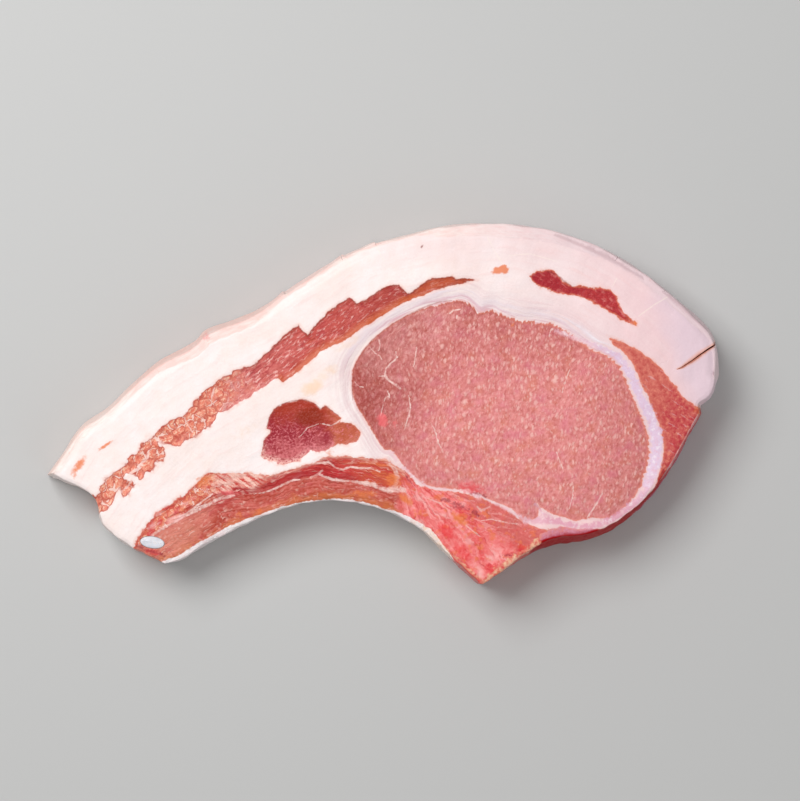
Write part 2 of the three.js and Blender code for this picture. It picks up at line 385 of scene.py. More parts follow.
def insetOutline(leaning, rounding):
    # the four sides moved square inwards, by shares of the walls' lean and of the edges' rounding
    loop = np.concatenate([rindSide, loinSide[1:-1], innerSide[::-1], tailSide[1:-1][::-1]])
    step = np.roll(loop, -1, axis=0)[:, :2] - loop[:, :2]
    leaving = step / np.linalg.norm(step, axis=1)[:, None]
    way = leaving + np.roll(leaving, 1, axis=0)
    way /= np.linalg.norm(way, axis=1)[:, None]
    rounds = np.where(np.arange(len(loop)) <= lastRung, chopShape["rindRound"], chopShape["cutRound"])
    reach = (leaning * loop[:, 2] + rounding * rounds) / np.maximum((way * leaving).sum(axis=1), sharpest)
    moved = loop[:, :2] + np.stack([way[:, 1], -way[:, 0]], axis=1) * reach[:, None]
    loinEnd = lastRung + len(loinEdge) - 1
    innerEnd = loinEnd + lastRung
    return {"rind": moved[:lastRung + 1], "loin": moved[lastRung:loinEnd + 1],
            "inner": moved[loinEnd:innerEnd + 1][::-1],
            "tail": np.concatenate([moved[innerEnd:], moved[:1]])[::-1]}


foot, head, rounded, faceEdge = (insetOutline(*shares) for shares in ((0, 0), (1, 0), (0, 1), (1, 1)))


def chopPoint(outline, u, v):
    position = u * lastRung
    point = mix(alongCurve(outline["rind"], position), alongCurve(outline["inner"], position), v[:, None])
    for end, rung, away in (("tail", 0, u), ("loin", lastRung, 1 - u)):
        edge = outline[end]
        straightEdge = mix(outline["rind"][rung], outline["inner"][rung], v[:, None])
        weight = 1 - smooth(away / endBlend)
        point += weight[:, None] * (alongCurve(edge, v * (len(edge) - 1)) - straightEdge)
    return point


# what shows on the cut face, at the table's scale
eyeOutline = onFace(smoothLine([
    (-8.9, 5.4), (-8.5, 10.3), (-6.0, 14.9), (-3.0, 18.4), (0.7, 21.6), (5.1, 24.5), (10.4, 27.0),
    (16.1, 28.8), (20.2, 29.6), (23.4, 29.8), (26.2, 28.2), (28.3, 26.2), (31.2, 27.1), (34.1, 26.0),
    (40.2, 23.9), (45.7, 23.6), (51.8, 21.9), (60.5, 16.0), (63.7, 14.8), (66.0, 13.3), (68.1, 11.6),
    (70.1, 8.2), (72.1, 3.8), (73.7, -0.1), (75.2, -3.8), (76.8, -8.0), (77.5, -12.6), (77.2, -17.1),
    (76.0, -20.8), (75.0, -24.0), (72.6, -28.0), (67.4, -32.6), (63.7, -33.5), (59.6, -33.2),
    (56.7, -34.1), (53.2, -33.2), (49.2, -32.0), (45.7, -30.3), (44.8, -33.2), (40.5, -34.1),
    (37.6, -30.6), (31.2, -28.0), (26.0, -25.1), (20.2, -24.8), (13.2, -23.9), (9.7, -21.6), (6.5, -18.7),
    (2.8, -13.8), (0.1, -12.9), (-4.2, -5.9), (-8.0, 0.4),
], closed=True))

streakOutline = onFace([
    (-83.1, -26.8), (-81.0, -23.5), (-80.5, -22.0), (-79.2, -21.2), (-78.5, -20.1), (-76.8, -19.6),
    (-75.9, -18.7), (-75.0, -18.2), (-74.4, -17.0), (-73.7, -15.8), (-72.5, -14.8), (-71.2, -15.0),
    (-70.6, -12.8), (-69.5, -11.4), (-68.0, -10.3), (-61.6, -4.8), (-56.7, -2.8), (-53.8, 1.3),
    (-51.2, 4.5), (-46.5, 7.1), (-43.2, 9.5), (-38.2, 10.8), (-33.9, 14.3), (-28.9, 19.3), (-24.4, 22.9),
    (-23.4, 21.6), (-21.6, 19.7), (-19.9, 22.4), (-15.9, 26.3), (-11.9, 29.5), (-9.4, 30.7), (-8.6, 30.3),
    (-7.4, 28.8), (-4.5, 30.4), (-3.2, 31.3), (-0.4, 33.2), (2.2, 34.1), (4.7, 34.4), (6.1, 32.7),
    (7.7, 31.5), (9.2, 32.9), (12.3, 35.0), (14.2, 36.2), (16.1, 36.4), (20.2, 36.8), (21.2, 35.8),
    (23.5, 36.4), (27.6, 36.0), (24.8, 35.0), (20.7, 34.3), (16.1, 33.1), (12.9, 31.7), (8.0, 29.8),
    (4.9, 28.5), (0.2, 25.6), (-3.5, 23.4), (-7.6, 20.8), (-10.7, 18.2), (-13.8, 16.9), (-16.5, 15.8),
    (-21.4, 12.0), (-25.8, 8.0), (-28.9, 6.2), (-30.1, 7.7), (-35.1, 4.2), (-38.7, 1.9), (-43.4, -1.0),
    (-47.1, -2.5), (-48.3, -4.8), (-52.3, -8.6), (-56.7, -10.0), (-58.7, -12.2), (-60.6, -13.0),
    (-62.2, -12.0), (-65.1, -11.6), (-63.4, -13.2), (-63.3, -15.3), (-64.1, -16.8), (-65.4, -17.6),
    (-65.5, -18.5), (-67.3, -20.3), (-68.3, -19.8), (-69.5, -21.4), (-70.5, -22.0), (-71.5, -21.1),
    (-72.6, -20.2), (-74.4, -20.4), (-74.9, -21.3), (-73.8, -21.5), (-73.9, -22.6), (-72.5, -22.6),
    (-71.5, -23.4), (-71.8, -24.2), (-75.1, -27.3), (-75.5, -26.9), (-76.2, -25.2), (-77.2, -26.8),
    (-78.5, -29.1), (-79.8, -30.2), (-81.2, -31.9), (-84.8, -33.0), (-86.0, -27.0),
], raised=18.5)

smallStreakOutline = onFace([
    (42.5, 37.3), (44.7, 38.3), (49.2, 39.0), (50.1, 38.3), (52.1, 36.3), (54.1, 34.6), (58.1, 34.1),
    (62.6, 33.6), (66.1, 33.3), (68.0, 31.3), (68.6, 29.3), (70.5, 26.4), (73.5, 23.9), (73.8, 22.4),
    (71.0, 23.4), (68.0, 25.4), (64.6, 27.4), (61.6, 29.1), (57.1, 30.9), (53.1, 31.8), (49.2, 32.6),
    (45.7, 33.8), (43.2, 35.8),
])

lumpOutline = onFace([
    (-33.6, -7.2), (-33.2, -4.2), (-31.7, -1.6), (-28.7, 0.2), (-23.5, 1.2), (-19.8, 0.2), (-18.1, -1.6),
    (-16.8, -0.7), (-14.2, -2.4), (-11.9, -4.2), (-12.3, -5.4), (-9.3, -5.7), (-6.7, -7.6), (-6.4, -9.1),
    (-7.5, -11.3), (-9.3, -11.5), (-10.8, -11.9), (-13.1, -11.3), (-14.2, -12.4), (-16.4, -13.7),
    (-18.3, -13.9), (-20.9, -13.9), (-22.8, -15.4), (-24.3, -16.9), (-28.0, -17.7), (-32.8, -16.9),
    (-35.1, -15.8), (-35.6, -14.3), (-34.7, -10.6), (-32.8, -8.7), (-32.5, -7.6),
], raised=20)

ribOutline = onFace([
    (-71.5, -39.6), (-66.3, -32.6), (-60.5, -28.3), (-54.7, -24.2), (-50.6, -19.6), (-46.5, -20.2),
    (-38.7, -19.9), (-32.6, -21.0), (-26.0, -19.0), (-16.7, -15.5), (-9.7, -15.2), (-2.6, -15.9),
    (0.8, -16.2), (3.4, -17.2), (6.7, -20.0), (9.9, -22.7), (12.2, -24.3), (14.5, -24.7), (18.0, -25.4),
    (22.0, -25.9), (28.3, -27.2), (34.7, -29.9), (39.3, -33.3), (43.6, -35.5), (48.0, -36.7),
    (53.0, -37.5), (53.0, -50.0), (28.3, -62.0), (5.1, -42.0), (-12.3, -36.0), (-41.3, -46.0),
    (-60.0, -55.0), (-76.0, -50.0),
], raised=19)

sideOutline = onFace([
    (65.0, 19.7), (68.4, 18.4), (72.6, 16.6), (77.1, 13.6), (81.1, 9.9), (84.5, 5.9), (87.5, 1.9),
    (90.5, -0.6), (93.0, -1.3), (108.0, -3.3), (98.0, -26.4), (84.0, -44.0), (63.1, -53.9), (47.0, -50.0),
    (45.5, -37.8), (51.5, -35.8), (63.1, -36.4), (69.5, -34.1), (74.7, -30.3), (78.6, -25.1),
    (80.6, -19.6), (81.4, -15.6), (81.6, -12.1), (80.9, -7.6), (79.4, -3.6), (77.4, 0.8), (75.4, 4.8),
    (73.9, 8.8), (71.9, 12.3), (69.9, 14.8), (66.8, 17.4),
])

streakLine = onFace(smoothLine([
    (-86, -35), (-80, -29), (-66, -14), (-50, -1), (-33, 12), (-13, 23), (2, 30), (23, 34.5), (35, 36),
]), raised=18.5)

# the line between the two thin rib muscles
fasciaLine = onFace(smoothLine([
    (-72.0, -42.5), (-67.2, -38.3), (-62.6, -35.5), (-57.7, -33.0), (-53.5, -30.9), (-48.6, -28.1),
    (-42.9, -26.7), (-37.0, -26.2), (-30.9, -24.6), (-26.7, -22.5), (-19.0, -21.0), (-14.6, -22.1),
    (-8.6, -22.5), (-3.0, -23.6), (1.8, -25.1), (8.0, -28.0), (17.0, -36.0), (27.0, -48.0),
]), raised=18.5)

outlines = {
    "eye": eyeOutline, "streak": streakOutline, "smallStreak": smallStreakOutline, "lump": lumpOutline,
    "rib": ribOutline, "sideMuscle": sideOutline,
}

# strokes are x, y, half width
strokes = {
    "vein": [
        [
            (3.8, 15.1, 0.17), (4.3, 13.3, 0.2), (2.8, 12.0, 0.23), (1.2, 10.3, 0.23), (0.8, 7.9, 0.35),
            (2.1, 6.5, 0.26), (3.8, 5.5, 0.32), (5.0, 4.6, 0.38),
        ],
        [(-3.5, 16.4, 0.12), (-2.3, 14.7, 0.14), (-0.8, 13.9, 0.14), (-0.1, 12.7, 0.17)],
        [(-1.1, 18.5, 0.12), (-0.6, 16.8, 0.14), (-1.3, 15.1, 0.12)],
        [(-8.0, 6.4, 0.14), (-6.8, 5.0, 0.14), (-5.7, 4.8, 0.14)],
        [(7.6, 2.4, 0.17), (8.1, -0.7, 0.2), (7.7, -3.4, 0.23), (6.7, -6.1, 0.2), (6.4, -7.7, 0.14)],
        [(1.6, 3.5, 0.17), (2.1, 1.7, 0.17)],
        [(0.8, 2.1, 0.14), (0.2, -0.3, 0.14), (-0.6, -3.7, 0.12)],
        [(10.0, 16.4, 0.12), (9.6, 14.4, 0.14), (9.3, 11.6, 0.12), (8.8, 10.3, 0.12)],
        [(19.4, 26.0, 0.17), (20.6, 27.0, 0.2), (22.6, 27.2, 0.17)],
        [(21.3, 24.3, 0.17), (21.6, 25.3, 0.14)],
        [(54.1, 9.8, 0.12), (52.9, 6.5, 0.14), (51.9, 3.0, 0.12)],
        [(49.1, 21.7, 0.2), (48.2, 19.0, 0.14)],
        [(43.2, 24.0, 0.17), (43.4, 22.2, 0.12)],
        [(13.8, -5.1, 0.12), (15.2, -7.7, 0.17), (16.1, -11.2, 0.17), (17.0, -12.9, 0.12)],
        [(50.3, -14.1, 0.12), (52.3, -19.3, 0.12)],
        [(55.2, -23.9, 0.14), (55.0, -27.1, 0.14), (54.1, -30.6, 0.14)],
        [(63.7, -26.0, 0.14), (61.9, -29.1, 0.2), (59.3, -33.2, 0.17)],
        [(44.8, -28.9, 0.14), (46.8, -31.5, 0.17)],
        [(-17.5, -5.9, 0.14), (-14.9, -6.4, 0.23), (-14.1, -5.9, 0.2), (-11.5, -4.5, 0.17)],
        [(-24.3, -10.2, 0.09), (-22.0, -7.2, 0.12), (-18.7, -5.9, 0.12)],
        # in the rib muscles
        [
            (-24.3, -17.7, 0.17), (-19.9, -17.2, 0.26), (-15.3, -17.1, 0.32), (-13.8, -18.4, 0.26),
            (-11.6, -19.2, 0.26), (-9.3, -18.4, 0.26), (-6.4, -18.8, 0.26), (-3.4, -18.6, 0.23),
            (-0.8, -19.9, 0.14),
        ],
        [
            (-18.3, -20.6, 0.29), (-14.6, -22.1, 0.32), (-8.6, -22.5, 0.35), (-3.0, -23.6, 0.49),
            (1.8, -25.1, 0.67), (6.5, -25.1, 0.58),
        ],
        [
            (-67.2, -38.3, 0.38), (-62.6, -35.5, 0.29), (-57.7, -33.0, 0.26), (-53.5, -30.9, 0.29),
            (-50.7, -29.5, 0.35), (-48.6, -28.1, 0.43), (-44.0, -26.9, 0.38), (-42.9, -26.7, 0.17),
        ],
        [
            (-61.6, -33.4, 0.2), (-58.1, -32.7, 0.26), (-54.9, -30.6, 0.26), (-52.1, -28.1, 0.26),
            (-49.3, -26.3, 0.17),
        ],
        [
            (-37.0, -26.2, 0.12), (-34.8, -26.0, 0.2), (-30.9, -24.6, 0.26), (-28.9, -23.5, 0.29),
            (-26.7, -22.5, 0.29), (-23.9, -22.1, 0.14),
        ],
        # the pale end of the orange band above the ragged tip
        [(2.6, -25.1, 0.5), (3.9, -23.4, 0.6), (4.4, -21.2, 0.6), (3.6, -19.0, 0.5), (2.0, -17.4, 0.3)],
        # channels between the lobes of the long streak
        [
            (-67.9, -13.6, 0.2), (-68.4, -15.7, 0.4), (-69.6, -16.9, 0.4), (-71.0, -19.0, 0.4),
            (-72.7, -19.9, 0.4), (-74.2, -21.2, 0.45),
        ],
        [(-73.0, -21.8, 0.4), (-73.4, -23.4, 0.2), (-75.4, -25.1, 0.25), (-76.8, -26.6, 0.3)],
        [(-65.0, -10.6, 0.35), (-63.4, -11.9, 0.5), (-62.2, -12.6, 0.5)],
        [(-57.3, -5.4, 0.16), (-56.0, -6.9, 0.25), (-55.3, -8.3, 0.16)],
    ],
    # pink strands in the ragged tip
    "tipStrand": [
        [(28.6, -37.2, 0.1), (31.0, -36.3, 0.16), (34.0, -35.9, 0.2), (38.0, -36.1, 0.14)],
        [(30.7, -31.9, 0.14), (33.5, -32.0, 0.25), (36.6, -33.0, 0.2), (39.3, -34.0, 0.17)],
        [
            (9.0, -27.0, 0.3), (11.2, -27.8, 0.5), (13.4, -30.0, 0.25), (16.2, -31.6, 0.3),
            (18.0, -32.4, 0.5), (19.3, -33.3, 0.2),
        ],
        [(21.3, -35.6, 0.2), (23.3, -37.0, 0.3), (25.0, -39.3, 0.3), (26.4, -40.5, 0.2)],
        [(6.2, -23.9, 0.14), (10.3, -26.0, 0.2), (15.5, -27.7, 0.17)],
        [(20.0, -26.9, 0.14), (23.5, -27.9, 0.25), (26.5, -28.2, 0.17)],
        [(29.8, -43.8, 0.3), (31.6, -45.0, 0.5), (34.1, -45.2, 0.22)],
    ],
    # strands close beside others, kept apart so that each has its own distances
    "strand": [
        [(28.6, -34.0, 0.1), (31.4, -33.5, 0.16), (34.6, -34.2, 0.2), (39.3, -35.0, 0.16)],
        [(27.4, -29.8, 0.2), (28.7, -31.0, 0.4), (31.0, -29.8, 0.17), (31.9, -29.0, 0.14)],
        [(12.3, -27.1, 0.14), (16.7, -28.9, 0.23), (18.7, -30.6, 0.17)],
        [(22.3, -33.4, 0.14), (24.6, -35.6, 0.2), (28.2, -38.4, 0.17)],
        [(-1.0, 7.9, 0.12), (0.8, 7.9, 0.17)],
        [(-20.9, -21.4, 0.17), (-18.3, -20.3, 0.35), (-17.5, -19.5, 0.23)],
    ],
    # painted shade: dark grey-lilac strokes that stand for the shadow in the crease between the cap's cut
    # face and the rind
    "creaseShade": [
        [
            (81.2, 32.4, 0.25), (84.0, 30.4, 0.5), (87.4, 27.6, 0.65), (91.0, 24.2, 0.45),
            (94.2, 21.4, 0.25),
        ],
        [(50.0, 48.8, 0.3), (58.0, 45.8, 0.5), (64.5, 42.8, 0.6), (70.5, 39.4, 0.5), (75.5, 36.2, 0.3)],
    ],
    # the open score cut, brown and dry inside
    "slit": [
        [
            (85.3, 9.9, 0.1), (86.6, 10.3, 0.2), (88.2, 11.4, 0.3), (90.0, 12.6, 0.4), (92.0, 14.1, 0.42),
            (93.7, 15.3, 0.34), (95.2, 16.2, 0.3), (97.5, 17.9, 0.25),
        ],
    ],
    "cream": [
        [
            (16.3, -40.0, 0.2), (20.0, -43.5, 0.3), (23.4, -46.6, 0.35), (26.2, -49.2, 0.45),
            (28.2, -50.6, 0.45),
        ],
        [(36.4, -46.6, 0.2), (38.6, -45.0, 0.45), (40.2, -44.9, 0.25)],
    ],
    "clot": [
        [(25.4, -26.3, 0.2), (27.0, -26.1, 0.3), (28.4, -26.2, 0.45), (29.7, -27.1, 0.3)],
        [(17.2, -27.9, 0.4), (18.6, -28.1, 0.5), (19.8, -28.4, 0.3)],
        [
            (20.6, -28.7, 0.4), (21.2, -29.6, 0.8), (22.2, -29.5, 0.6), (23.4, -30.3, 0.5),
            (24.9, -30.7, 0.3),
        ],
        [(25.6, -32.3, 0.4), (26.8, -31.7, 0.7), (27.6, -32.5, 0.4)],
        [(35.0, -44.2, 0.2), (36.8, -44.0, 0.3), (38.3, -43.6, 0.17)],
        [(5.9, -20.2, 0.17), (7.4, -21.9, 0.26), (9.1, -23.6, 0.14)],
        # under the cartilage
        [
            (-71.4, -41.2, 0.3), (-69.6, -42.2, 0.45), (-67.6, -42.9, 0.5), (-65.4, -43.3, 0.45),
            (-63.6, -44.4, 0.3),
        ],
    ],
    # the brown line where the lean meets the fat
    "brownRim": [
        [
            (-33.6, -6.8, 0.14), (-32.8, -3.9, 0.2), (-30.2, -0.5, 0.2), (-26.5, 0.8, 0.17),
            (-22.4, 1.0, 0.17), (-19.1, -0.5, 0.2), (-17.9, -1.6, 0.23), (-16.4, -0.9, 0.2),
            (-12.7, -3.5, 0.14),
        ],
        [
            (-8.6, 1.0, 0.12), (-8.8, 5.4, 0.2), (-8.3, 10.3, 0.2), (-5.9, 14.9, 0.23),
            (-3.0, 18.4, 0.23), (0.7, 21.6, 0.17), (5.1, 24.5, 0.2), (8.6, 26.2, 0.26),
            (12.3, 28.0, 0.23), (16.1, 29.4, 0.2), (20.2, 30.0, 0.12),
        ],
        [(47.4, 38.4, 0.12), (50.6, 37.4, 0.25), (53.0, 35.2, 0.3), (55.4, 33.7, 0.17)],
    ],
    # the pale seams round the loin muscle
    "seam": [
        [
            (50.3, 21.0, 0.3), (57.3, 18.4, 0.45), (63.1, 16.2, 0.6), (67.0, 14.4, 0.75),
            (69.5, 12.3, 0.9), (71.9, 8.6, 1.0), (73.9, 4.0, 1.05), (75.8, -0.1, 1.25), (77.6, -3.8, 1.3),
            (79.0, -7.8, 1.35), (79.7, -12.3, 1.4), (79.4, -15.5, 1.5), (78.4, -19.7, 1.45),
            (76.8, -23.7, 1.2), (74.8, -27.2, 0.95), (70.3, -31.2, 0.85), (65.1, -34.3, 0.85),
            (60.2, -35.6, 0.75), (55.0, -35.2, 0.75), (50.0, -34.0, 0.75), (45.1, -34.1, 0.7),
            (41.5, -34.2, 0.5),
        ],
        [
            (2.2, -14.2, 0.4), (3.9, -15.9, 0.32), (8.0, -20.4, 0.26), (12.4, -23.9, 0.2),
            (19.6, -25.2, 0.05),
        ],
        [(26.4, -26.6, 0.1), (27.9, -26.9, 0.4)],
        [
            (30.2, -27.9, 0.14), (34.0, -29.6, 0.25), (37.6, -31.6, 0.3), (40.9, -33.3, 0.45),
            (43.7, -34.2, 0.7),
        ],
        [(44.4, -29.3, 0.15), (46.5, -31.6, 0.3), (49.0, -32.9, 0.45)],
    ],
    # closed score cuts in the cap
    "score": [
        [(67.9, 36.4, 0.12), (66.6, 33.9, 0.1)],
        [(82.5, 30.9, 0.17), (78.2, 28.3, 0.17), (74.2, 25.3, 0.17)],
        [(-28.3, 32.6, 0.14), (-26.0, 28.3, 0.09)],
        [(-10.6, 42.2, 0.14), (-8.8, 38.4, 0.09)],
        [(-1.9, 45.7, 0.14), (0.7, 41.0, 0.09)],
        [(30.4, 48.3, 0.12), (32.6, 43.9, 0.14), (34.7, 40.5, 0.14), (36.4, 39.9, 0.12)],
        [(36.4, 42.8, 0.09), (42.8, 43.4, 0.12), (51.2, 41.0, 0.09)],
    ],
}

# spots are x, y, reach x, reach y, turn in degrees, strength
spots = {
    "flush": [
        (0.0, -4.7, 1.5, 1.9, 5, 1.0), (3.6, -5.9, 0.6, 1.2, 0, 0.6), (25.4, -24.2, 3.8, 1.7, -15, 0.8),
        (-44.8, -26.0, 3.0, 0.8, 0, 0.6),
    ],
    "blood": [
        (18.4, -36.7, 3.2, 1.7, -45, 0.9), (23.3, -42.8, 2.9, 1.4, -45, 1.0),
        (31.5, -47.7, 1.7, 1.4, 0, 0.9), (40.5, -42.2, 1.4, 1.4, 0, 0.9),
        (28.3, -44.2, 1.7, 1.2, -30, 0.5), (22.5, -31.5, 2.3, 1.4, -30, 0.5),
        (-66.6, -43.1, 2.3, 0.9, -12, 0.9), (-51.5, 19.6, 1.2, 1.2, 20, 0.7),
        (37.6, -41.0, 1.7, 1.2, 20, 0.4),
    ],
    "orange": [
        (22.5, -33.5, 2.3, 1.4, -30, 1.0), (3.0, -22.2, 2.3, 2.0, -20, 0.8),
        (28.3, -41.3, 1.2, 0.9, 0, 0.6), (6.8, -27.7, 2.3, 1.0, -40, 1.0), (37.6, 22.5, 0.5, 1.4, 0, 0.6),
        (33.2, 38.4, 1.4, 1.0, 10, 1.5), (35.2, 38.8, 1.3, 1.0, -40, 1.6),
        (73.2, 23.3, 0.9, 0.6, -30, 0.7), (-52.0, -22.5, 2.3, 1.7, 30, 0.7),
        (-5.4, -26.0, 3.5, 0.9, -5, 0.7), (-88.3, -18.1, 1.0, 2.9, -38, 1.0),
        (-80.5, -12.2, 0.4, 2.3, -55, 1.1), (-89.5, -21.0, 0.4, 1.2, -20, 0.7),
        (33.5, -49.2, 1.4, 0.7, 25, 0.6), (-41.9, -32.3, 1.2, 0.9, 20, 0.5),
        (-35.8, -31.2, 1.2, 0.9, 20, 0.5), (91.5, -1.9, 1.4, 1.4, -30, 0.6),
        (-15.2, -14.1, 1.4, 0.9, 10, 0.3),
    ],
    # soft peach stains in the fat
    "stain": [
        (-20.4, 4.5, 3.0, 1.9, 20, 0.8), (-15.6, 9.2, 3.6, 1.4, 35, 0.4), (-9.6, 17.4, 4.6, 1.3, 27, 0.4),
        (-40.0, -8.0, 4.0, 2.0, 20, 0.25),
    ],
    "pale": [
        (-60.3, -33.5, 2.8, 0.9, 20, 1.3), (-66.5, -35.6, 1.4, 0.8, 40, 0.8),
        (27.8, -27.2, 0.9, 0.8, 0, 1.0), (23.4, -29.1, 1.0, 0.7, -20, 0.9),
        (37.0, -47.1, 1.4, 0.7, 25, 0.8), (38.4, -44.9, 0.7, 0.6, 0, 1.0),
        (11.2, -34.6, 1.6, 0.9, -45, 0.7), (28.2, -49.4, 1.4, 1.0, 0, 0.8),
        (10.6, -27.6, 1.7, 0.8, -10, 0.8), (17.9, -32.0, 1.5, 0.9, -30, 0.9),
        (24.9, -39.9, 1.4, 0.9, -40, 0.8), (31.6, -44.7, 1.7, 0.9, -10, 0.9),
        (42.5, -33.9, 1.8, 0.9, -10, 0.7), (47.1, -34.1, 1.6, 0.9, 0, 0.5),
        (-57.5, -29.4, 1.2, 1.0, 20, 0.6), (-61.0, -31.6, 1.4, 0.7, 20, 0.6),
        (-64.6, -32.0, 1.2, 0.8, 20, 0.6), (-55.0, -27.6, 1.2, 0.6, 20, 0.6),
        (-51.4, -24.4, 1.0, 1.4, 0, 0.5),
    ],
    "deep": [(11.3, 45.4, 0.3, 0.3, 0, 1.0), (-21.3, -3.9, 4.1, 2.6, 5, 1.0)],
    "crimson": [
        (-62.2, -30.3, 1.4, 0.7, 10, 0.9), (-64.6, -34.4, 1.2, 0.9, 20, 0.9),
        (-67.2, -37.3, 1.6, 0.8, 50, 1.0), (-59.6, -30.4, 1.1, 0.6, 20, 0.8),
        (26.6, -26.0, 2.0, 0.6, -8, 0.6), (24.6, -33.2, 1.2, 0.5, 20, 0.8),
        (25.6, -24.8, 3.4, 1.3, -15, 0.75), (39.9, -42.0, 1.3, 0.9, 40, 0.7),
        (36.6, -44.1, 1.7, 0.4, 12, 0.7), (-12.9, -20.2, 8.7, 0.9, 0, 0.45),
        (8.0, -22.5, 2.6, 1.2, -40, 0.4), (31.0, -47.0, 0.7, 1.4, -20, 0.5),
    ],
}


def faceHeight(x, y, u):
    shape = chopShape
    toEye = insideBy(eyeOutline, x, y)
    lean = np.maximum.reduce([insideBy(outlines[name], x, y) for name in outlines if name != "eye"])
    thicker = smooth((u - shape["thickenFrom"]) / shape["thickenOver"])
    thickness = mix(shape["tailThickness"], shape["loinThickness"], thicker)
    crown = shape["eyeCrown"] * smooth(toEye / shape["eyeCrownWidth"])
    seam = shape["seamDepth"] * bell(toEye, shape["seamWidth"])
    swell = shape["fatSwell"] * smooth(-toEye / shape["fatSwellWidth"])
    sunk = shape["leanSink"] * smooth((lean + shape["leanSinkStart"]) / shape["leanSinkWidth"])
    wander = sum(height * np.sin(x / overX + y / overY + shift)
                 for height, overX, overY, shift in shape["waves"])
    fine = sum(height * lumps(x, y, 0 * x, grain, seed) for height, grain, seed in shape["bumps"])
    return thickness + crown + swell + wander + fine - seam - sunk


def leanAt(side, a):
    return np.interp(a, *zip(*chopShape[side]))


def chopSurface(a, b, t):
    # a along, b across, t up the wall, all 0 to 1; gives x, y, z
    shape = chopShape
    level = t * (len(levels) - 1)
    share, lean, rounding = (np.interp(level, range(len(levels)), levels[:, i]) for i in range(3))
    start = chopPoint(foot, a, b)
    leaned = lean[:, None] * (chopPoint(head, a, b) - start)
    turnedOver = rounding[:, None] * (chopPoint(rounded, a, b) - start)
    x, y = (start + leaned + turnedOver).T
    toRind, toInner, toTail, toLoin = (nearest(smoothLine(faceEdge[side]), x, y)[0]
                                       for side in ("rind", "inner", "tail", "loin"))
    toCut = np.minimum.reduce([toInner, toTail, toLoin])
    onWall = (t > 0) & (t < 1)
    rindWall, cutWall = onWall & (toRind < toCut), onWall & (toCut < toRind)
    toRind, toCut = np.where(rindWall, 0, toRind), np.where(cutWall, 0, toCut)
    top = faceHeight(x, y, a) - shape["cutRound"] * (1 - smooth(toCut / shape["cutFade"]))
    top -= shape["rindRound"] * (1 - smooth(toRind / shape["rindFade"]))
    # the skin's flaps beside the score cuts, and the unevenness of the walls
    wall = wallNoise["reach"] * smooth(1 - np.minimum(toRind, toCut) / wallNoise["fade"])
    ragged = wallNoise["fineReach"] * smooth(1 - toCut / wallNoise["fade"])
    height = top * share
    moves = [wall * lumps(x, y, height, wallNoise["grain"], seed)
             + ragged * lumps(x, y, height / wallNoise["fineTall"], wallNoise["fineGrain"], seed + 4)
             for seed in (1, 2)]
    x, y = x + moves[0], y + moves[1]
    for flapX, flapY in flaps["at"]:
        before = (flapX - x) * flaps["along"][0] + (flapY - y) * flaps["along"][1]
        before = before / flaps["length"]
        stands = (before > 0) & (before < 1) & (b < flaps["depth"])
        out = np.where(stands, flaps["height"] * np.exp(-before * before * 4), 0)
        out = out * bell(np.hypot(x - flapX, y - flapY), flaps["length"])
        x, y = x + flaps["out"][0] * out, y + flaps["out"][1] * out
    return np.stack([x, y, top * share], axis=1)


def evenPlaces(count):
    # positions along the chop that give cells of like length
    samples, across = 2000, 0.4
    fine = np.linspace(0, 1, samples)
    middle = chopPoint(foot, fine, np.full(samples, across))
    length = np.concatenate([[0], np.cumsum(np.linalg.norm(np.diff(middle, axis=0), axis=1))])
    return np.interp(np.linspace(0, 1, count + 1), length / length[-1], fine)


def addSlab():
    deselectAll()
    along, across = chopShape["cellsAlong"], chopShape["cellsAcross"]
    bpy.ops.mesh.primitive_grid_add(x_subdivisions=along, y_subdivisions=across, size=2, location=(0, 0, 0))
    slab = bpy.context.object
    slab.name = "porkChop"
    bpy.ops.object.mode_set(mode="EDIT")
    bpy.ops.mesh.select_all(action="SELECT")
    bpy.ops.mesh.extrude_region_move(TRANSFORM_OT_translate={"value": (0, 0, 1)})
    bpy.ops.mesh.select_all(action="DESELECT")
    editMesh = bmesh.from_edit_mesh(slab.data)
    for edge in editMesh.edges:
        edge.select_set(abs(edge.verts[0].co.z - edge.verts[1].co.z) > 0.5)
    bmesh.update_edit_mesh(slab.data)
    bpy.ops.mesh.subdivide(number_cuts=len(levels) - 2)
    bpy.ops.mesh.select_all(action="SELECT")
    bpy.ops.mesh.normals_make_consistent(inside=False)
    bpy.ops.object.mode_set(mode="OBJECT")
    return slab


def shapeSlab(slab):
    count = len(slab.data.vertices)
    box = np.empty(count * 3)
    slab.data.vertices.foreach_get("co", box)
    box = box.reshape(-1, 3)
    places = evenPlaces(chopShape["cellsAlong"])
    a = places[np.rint((box[:, 0] + 1) / 2 * chopShape["cellsAlong"]).astype(int)]
    b = (1 - box[:, 1]) / 2
    surface = chopSurface(a, b, box[:, 2]) * mm
    surface = np.clip(surface, np.array(cadLow) + boxGap, np.array(cadHigh) - boxGap)
    slab.data.vertices.foreach_set("co", surface.ravel())
    slab.data.update()


print("chop: cells carried to the shape")
porkChop = addSlab()
shapeSlab(porkChop)


print("chop: score cuts and the cartilage's hole")

